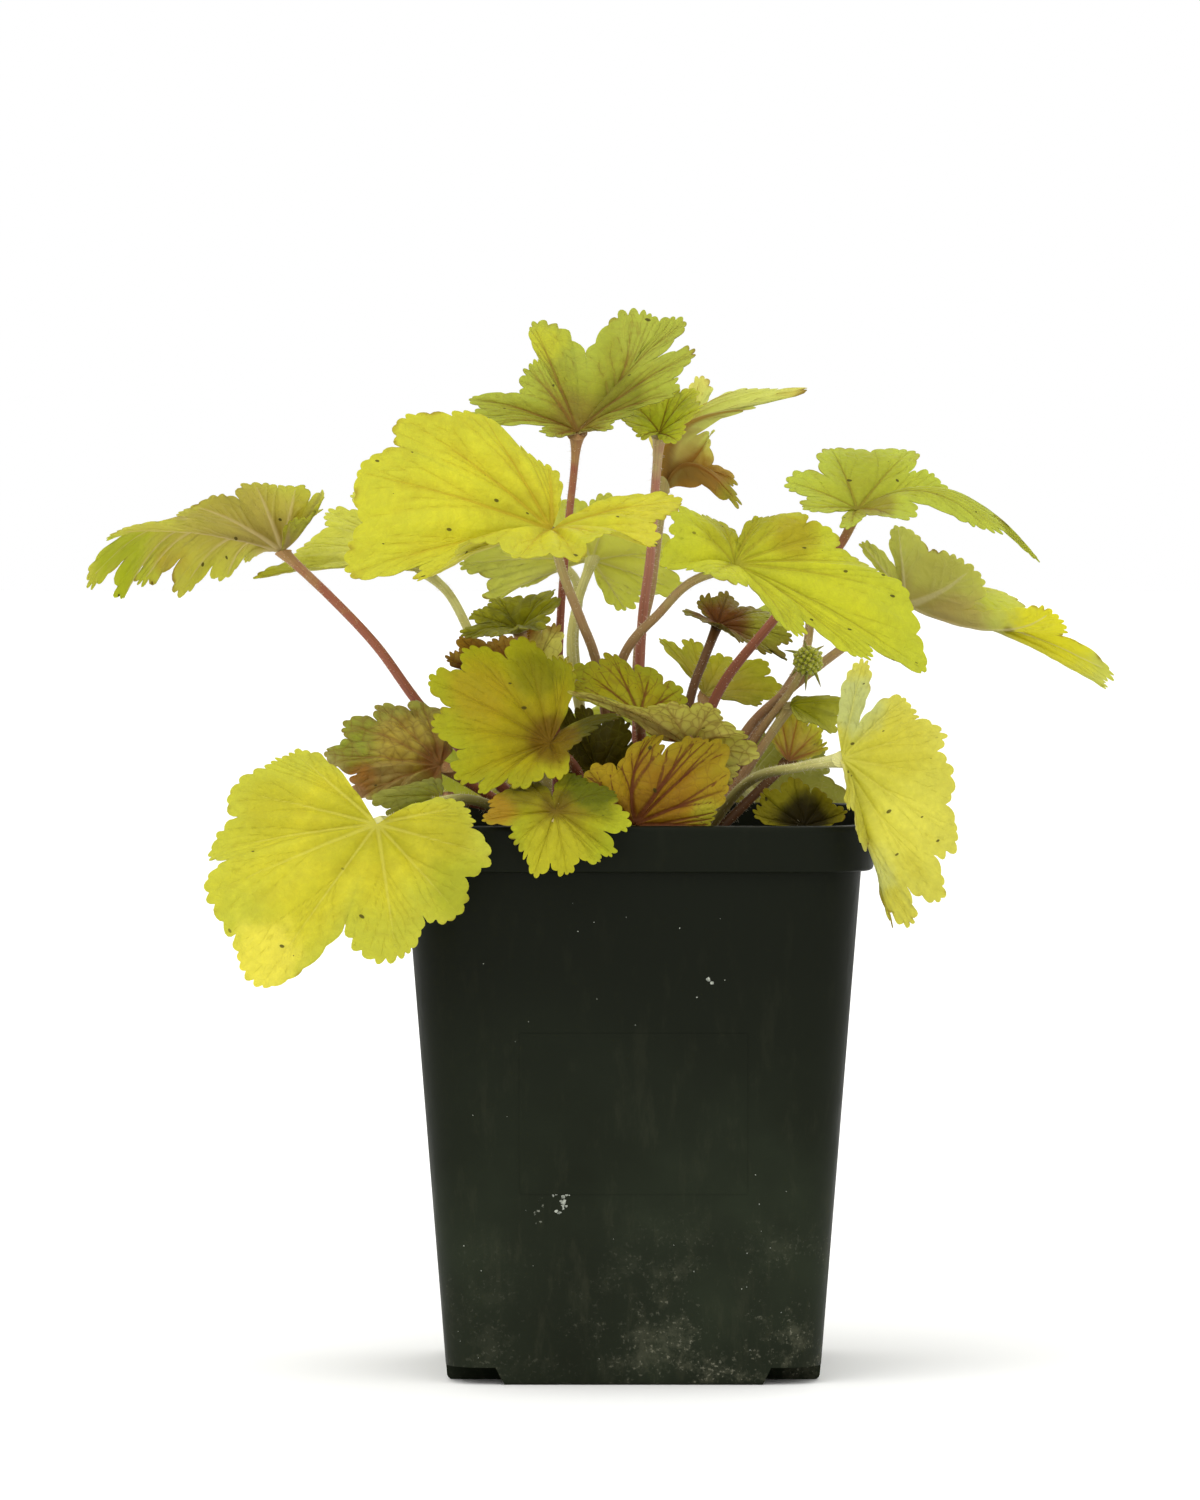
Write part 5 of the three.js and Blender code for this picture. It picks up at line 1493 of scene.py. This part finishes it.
def wall_place(x, z, out=0.0):
    """A point of the front wall's outer face."""
    share = z / (POT_HEIGHT - POT_RIM_BAND)
    return x, -lerp(POT_BASE_WIDTH, POT_TOP_WIDTH, share) / 2 - out, z


def make_label_panel(material):
    """The bare panel that is moulded on the front, a hair proud of the wall."""
    rings = []
    for inset, out in ((0, -0.3), (0, LABEL_RAISED * 0.6), (0.25, LABEL_RAISED), (0.8, LABEL_RAISED)):
        low, high, half = LABEL_LOW + inset, LABEL_HIGH - inset, LABEL_HALF_WIDTH - inset
        corners = ((-half, low), (half, low), (half, high), (-half, high))
        rings.append([wall_place(x, z, out) for x, z in corners])
    piece = solid_mesh("label_panel", *loft(rings), [material], crisp=30)
    place(piece, "pot_plastic")


def make_splashes(material):
    """Small chalky splashes on the front wall, thickest about one spot."""
    rng = np.random.default_rng(5)
    build = Build()
    spots = [
        (rng.normal(-15.5, 1.6), rng.normal(44, 3.2), rng.uniform(0.15, 0.6)) for _ in range(SPLASHES)
    ]
    spots += BIG_SPLASHES
    spots += [(rng.uniform(-40, 40), rng.uniform(6, 112), rng.uniform(0.08, 0.2)) for _ in range(DROPS)]
    for x, z, size in spots:
        rings = []
        for shrink, out in ((1, -0.05), (0.85, 0.05), (0.4, 0.1)):
            ring = []
            for i in range(SPLASH_SIDES):
                angle = 2 * math.pi * i / SPLASH_SIDES
                far = size * shrink * (0.6 + 0.6 * dice(x * 3.1 + z, i))
                ring.append(wall_place(x + far * math.cos(angle), z + far * math.sin(angle), out))
            rings.append(ring)
        build.add(*loft(rings))
    piece = build.finish("splashes", [material])
    place(piece, "pot_plastic")


# ---------------------------------------------------------------- soil

CRUMBS = 2100  # fewer remain, as none lie on the crown
CRUMB_REACH = 47  # how far from the middle they lie, along each side of the pot
SOIL_RINGS = 44


def soil_height(x, y):
    wave = 0.6 * math.sin(x / 9 + 1) * math.cos(y / 7) + 0.4 * math.sin(x / 4 - y / 5)
    clods = 1.1 * noise.fractal((x / 6, y / 6, 0), 1, 2, 4)
    return SOIL_TOP + SOIL_BUMP * wave + 2.5 * math.exp(-(x * x + y * y) / 500) + clods


def lump(rng, centre, size, stretch=(1, 1, 1)):
    """A rough pebble: an octahedron whose faces are split once, each corner moved a little."""
    corners = [(1, 0, 0), (-1, 0, 0), (0, 1, 0), (0, -1, 0), (0, 0, 1), (0, 0, -1)]
    faces = [(0, 2, 4), (2, 1, 4), (1, 3, 4), (3, 0, 4), (2, 0, 5), (1, 2, 5), (3, 1, 5), (0, 3, 5)]
    points = [np.array(c, dtype=float) for c in corners]
    middles, split = {}, []

    def between(a, b):
        key = (min(a, b), max(a, b))
        if key not in middles:
            points.append(unit(points[a] + points[b]))
            middles[key] = len(points) - 1
        return middles[key]

    for a, b, c in faces:
        ab, bc, ca = between(a, b), between(b, c), between(c, a)
        split += [(a, ab, ca), (ab, b, bc), (ca, bc, c), (ab, bc, ca)]
    points = np.array(points) * rng.uniform(0.7, 1.25, (len(points), 1)) * np.array(stretch)
    turn = np.linalg.qr(rng.normal(size=(3, 3)))[0]
    turn *= np.sign(np.linalg.det(turn))
    return centre + points @ turn.T * size, split


def make_soil():
    build = Build()
    inset = POT_WALL + SOIL_GAP
    rings = [pot_section(POT_FLOOR + FOOT_HEIGHT + 1.5, inset), pot_section(SOIL_TOP - 3, inset)]
    edge = np.array(pot_section(SOIL_TOP, inset))
    for share in np.linspace(1, 0.02, SOIL_RINGS):
        rings.append([(x * share, y * share, soil_height(x * share, y * share)) for x, y, _ in edge])
    build.add(*loft(rings), 0)
    rng = np.random.default_rng(3)
    for n in range(CRUMBS):
        x, y = rng.uniform(-CRUMB_REACH, CRUMB_REACH, 2)
        if math.hypot(x, y) < HOLE_RADIUS - 4:
            continue
        size = rng.uniform(0.35, 1.0) if n % 7 else rng.uniform(1.0, 2.3)
        kind = 1 if n % 11 == 0 else (2 if n % 47 == 0 else 0)
        shape = (2.6, 1, 0.5) if kind == 1 else (1, 0.8, 0.7)
        centre = np.array([x, y, soil_height(x, y) + 0.2 * size])
        build.add(*lump(rng, centre, size, shape), kind)
    piece = build.finish(
        "soil",
        [
            crumb_material("soil", "#150e09", "#2c1e13", "#4a3625"),
            crumb_material("bark", "#3c2616", "#5e3e26", "#7e5a3a"),
            crumb_material("perlite", "#b9b4a8", "#d2cec4", "#e6e3dc"),
        ],
        crisp=180,
    )
    place(piece, "soil", "soil")


# ---------------------------------------------------------------- bud

BUD = dict(
    at=(40.5, 4, 164), radius=3.4, stalk=[(13, 3, 118), (28.5, 6, 146), (36.5, 5, 157)],
    bracts=[(-5.6, 0, 2.4), (-0.6, -1, -7), (3, -1, -6.2), (3.8, 1, 3.4), (-1, -3, 5), (-4, 2, -4)],
)
BUDLETS = 84
GOLDEN_TURN = 2.39996  # radians from one bud to the next


def make_bud():
    """A tight round head of small hairy buds, with a few thin bracts that curl out from under it."""
    build = Build()
    rng = np.random.default_rng(40)
    centre = np.array(BUD["at"], dtype=float)
    radius = BUD["radius"]
    build.add(*lump(rng, centre, radius * 0.8), 0)
    for n in range(BUDLETS):
        z = 1 - 2 * (n + 0.5) / BUDLETS
        angle = n * GOLDEN_TURN
        out = np.array([math.sqrt(1 - z * z) * math.cos(angle), math.sqrt(1 - z * z) * math.sin(angle), z])
        length = radius * rng.uniform(0.42, 0.62)
        root = centre + out * radius * 0.55
        path = np.array([root + out * length * t for t in (0, 0.3, 0.6, 0.85, 1)])
        radii = radius * rng.uniform(0.17, 0.23) * np.array([0.7, 1.0, 0.95, 0.6, 0.15])
        points, faces, uv = tube(path, radii, 7)
        build.add(points, faces, 0, uv)
        hairs(build, path, radii, 9, 0.75, 2, 400 + n, 0.035)
    for n, tip in enumerate(BUD["bracts"]):
        tip = np.array(tip, dtype=float)
        middle = centre + tip * 0.55 + np.array([0, 0, 0.6])
        path = smooth_path([centre + tip * 0.2, middle, centre + tip], 10)
        radii = 0.42 * np.array([1, 1.05, 1.1, 1.1, 1.0, 0.9, 0.78, 0.64, 0.48, 0.3, 0.1])
        points, faces, uv = tube(path, radii, 8)
        build.add(points, faces, 1, uv)
        hairs(build, path, radii, 26, 0.6, 2, 500 + n, 0.035)
    piece = build.finish(
        "bud",
        [
            stalk_material("bud_green", [(0.1, "#84881c"), (0.6, "#9ca028"), (1, "#b4b83c")]),
            stalk_material("bract_green", [(0.1, "#8e9228"), (0.6, "#8a8a30"), (1, "#74642c")]),
            hair_material(),
        ],
    )
    place(piece, "bud_green", "bud")


# ---------------------------------------------------------------- floor, light and camera

CAMERA_PLACE = (0, -2.5, 0.255)  # in metres
CAMERA_PITCH = 2.557  # degrees below the horizon
CAMERA_YAW = 0.178  # degrees to the left
LENS = 259.06
SENSOR = 36
FLOOR_HALF = 6.0  # in metres


def make_floor():
    half = FLOOR_HALF
    mesh = bpy.data.meshes.new("floor")
    corners = [(-half, -half, 0), (half, -half, 0), (half, half, 0), (-half, half, 0)]
    mesh.from_pydata(corners, [], [(0, 1, 2, 3)])
    mesh.materials.append(floor_material())
    floor = add_object("floor", mesh)


def make_softbox(name, place_m, aim, size, watts):
    data = bpy.data.lights.new(name, "AREA")
    data.shape, data.size, data.energy = "SQUARE", size, watts
    lamp = add_object(name, data)
    lamp.location = place_m
    way = np.array(aim) - np.array(place_m)
    lamp.rotation_euler = (
        math.atan2(math.hypot(way[0], way[1]), -way[2]), 0, math.atan2(-way[0], way[1]),
    )


def make_sun():
    """The even light of a studio's white ceiling."""
    data = bpy.data.lights.new("ceiling", "SUN")
    data.energy, data.angle = 0.8, math.radians(70)
    lamp = add_object("ceiling", data)
    lamp.rotation_euler = (math.radians(28), 0, math.radians(-25))


def make_light():
    world = bpy.data.worlds.new("studio")
    bpy.context.scene.world = world
    s = Shade(world)
    seen = s.node("Background", {"Color": (1, 1, 1, 1)}).outputs[0]
    lit = s.node("Background", {"Color": (1, 1, 0.97, 1), "Strength": 1.12}).outputs[0]
    direct = s.node("LightPath").outputs["Is Camera Ray"]
    s.node("OutputWorld", {"Surface": s.node("MixShader", {0: direct, 1: lit, 2: seen}).outputs[0]})
    aim = (0, 0, 0.16)
    make_softbox("key", (-0.7, -1.0, 1.5), aim, 1.0, 4)
    make_softbox("back", (0.3, 1.3, 1.1), aim, 1.0, 3)
    make_sun()


def make_camera():
    data = bpy.data.cameras.new("camera")
    data.lens, data.sensor_width, data.sensor_fit = LENS, SENSOR, "AUTO"
    data.clip_start, data.clip_end = 0.1, 50
    camera = add_object("camera", data)
    camera.location = CAMERA_PLACE
    camera.rotation_euler = (math.radians(90 - CAMERA_PITCH), 0, math.radians(CAMERA_YAW))
    bpy.context.scene.camera = camera


def main():
    leaves = [Leaf(name, given) for name, given in LEAVES.items()]
    for leaf in leaves:
        make_blade(leaf, leaf_material(leaf))
    make_stems(leaves)
    make_soil()
    make_bud()
    plastic = pot_material()
    make_pot(plastic)
    make_label_panel(plastic)
    make_splashes(splash_material())
    make_floor()
    make_light()
    make_camera()
    scene = bpy.context.scene
    scene.view_settings.view_transform = "Standard"
    scene.view_settings.look = "None"


main()
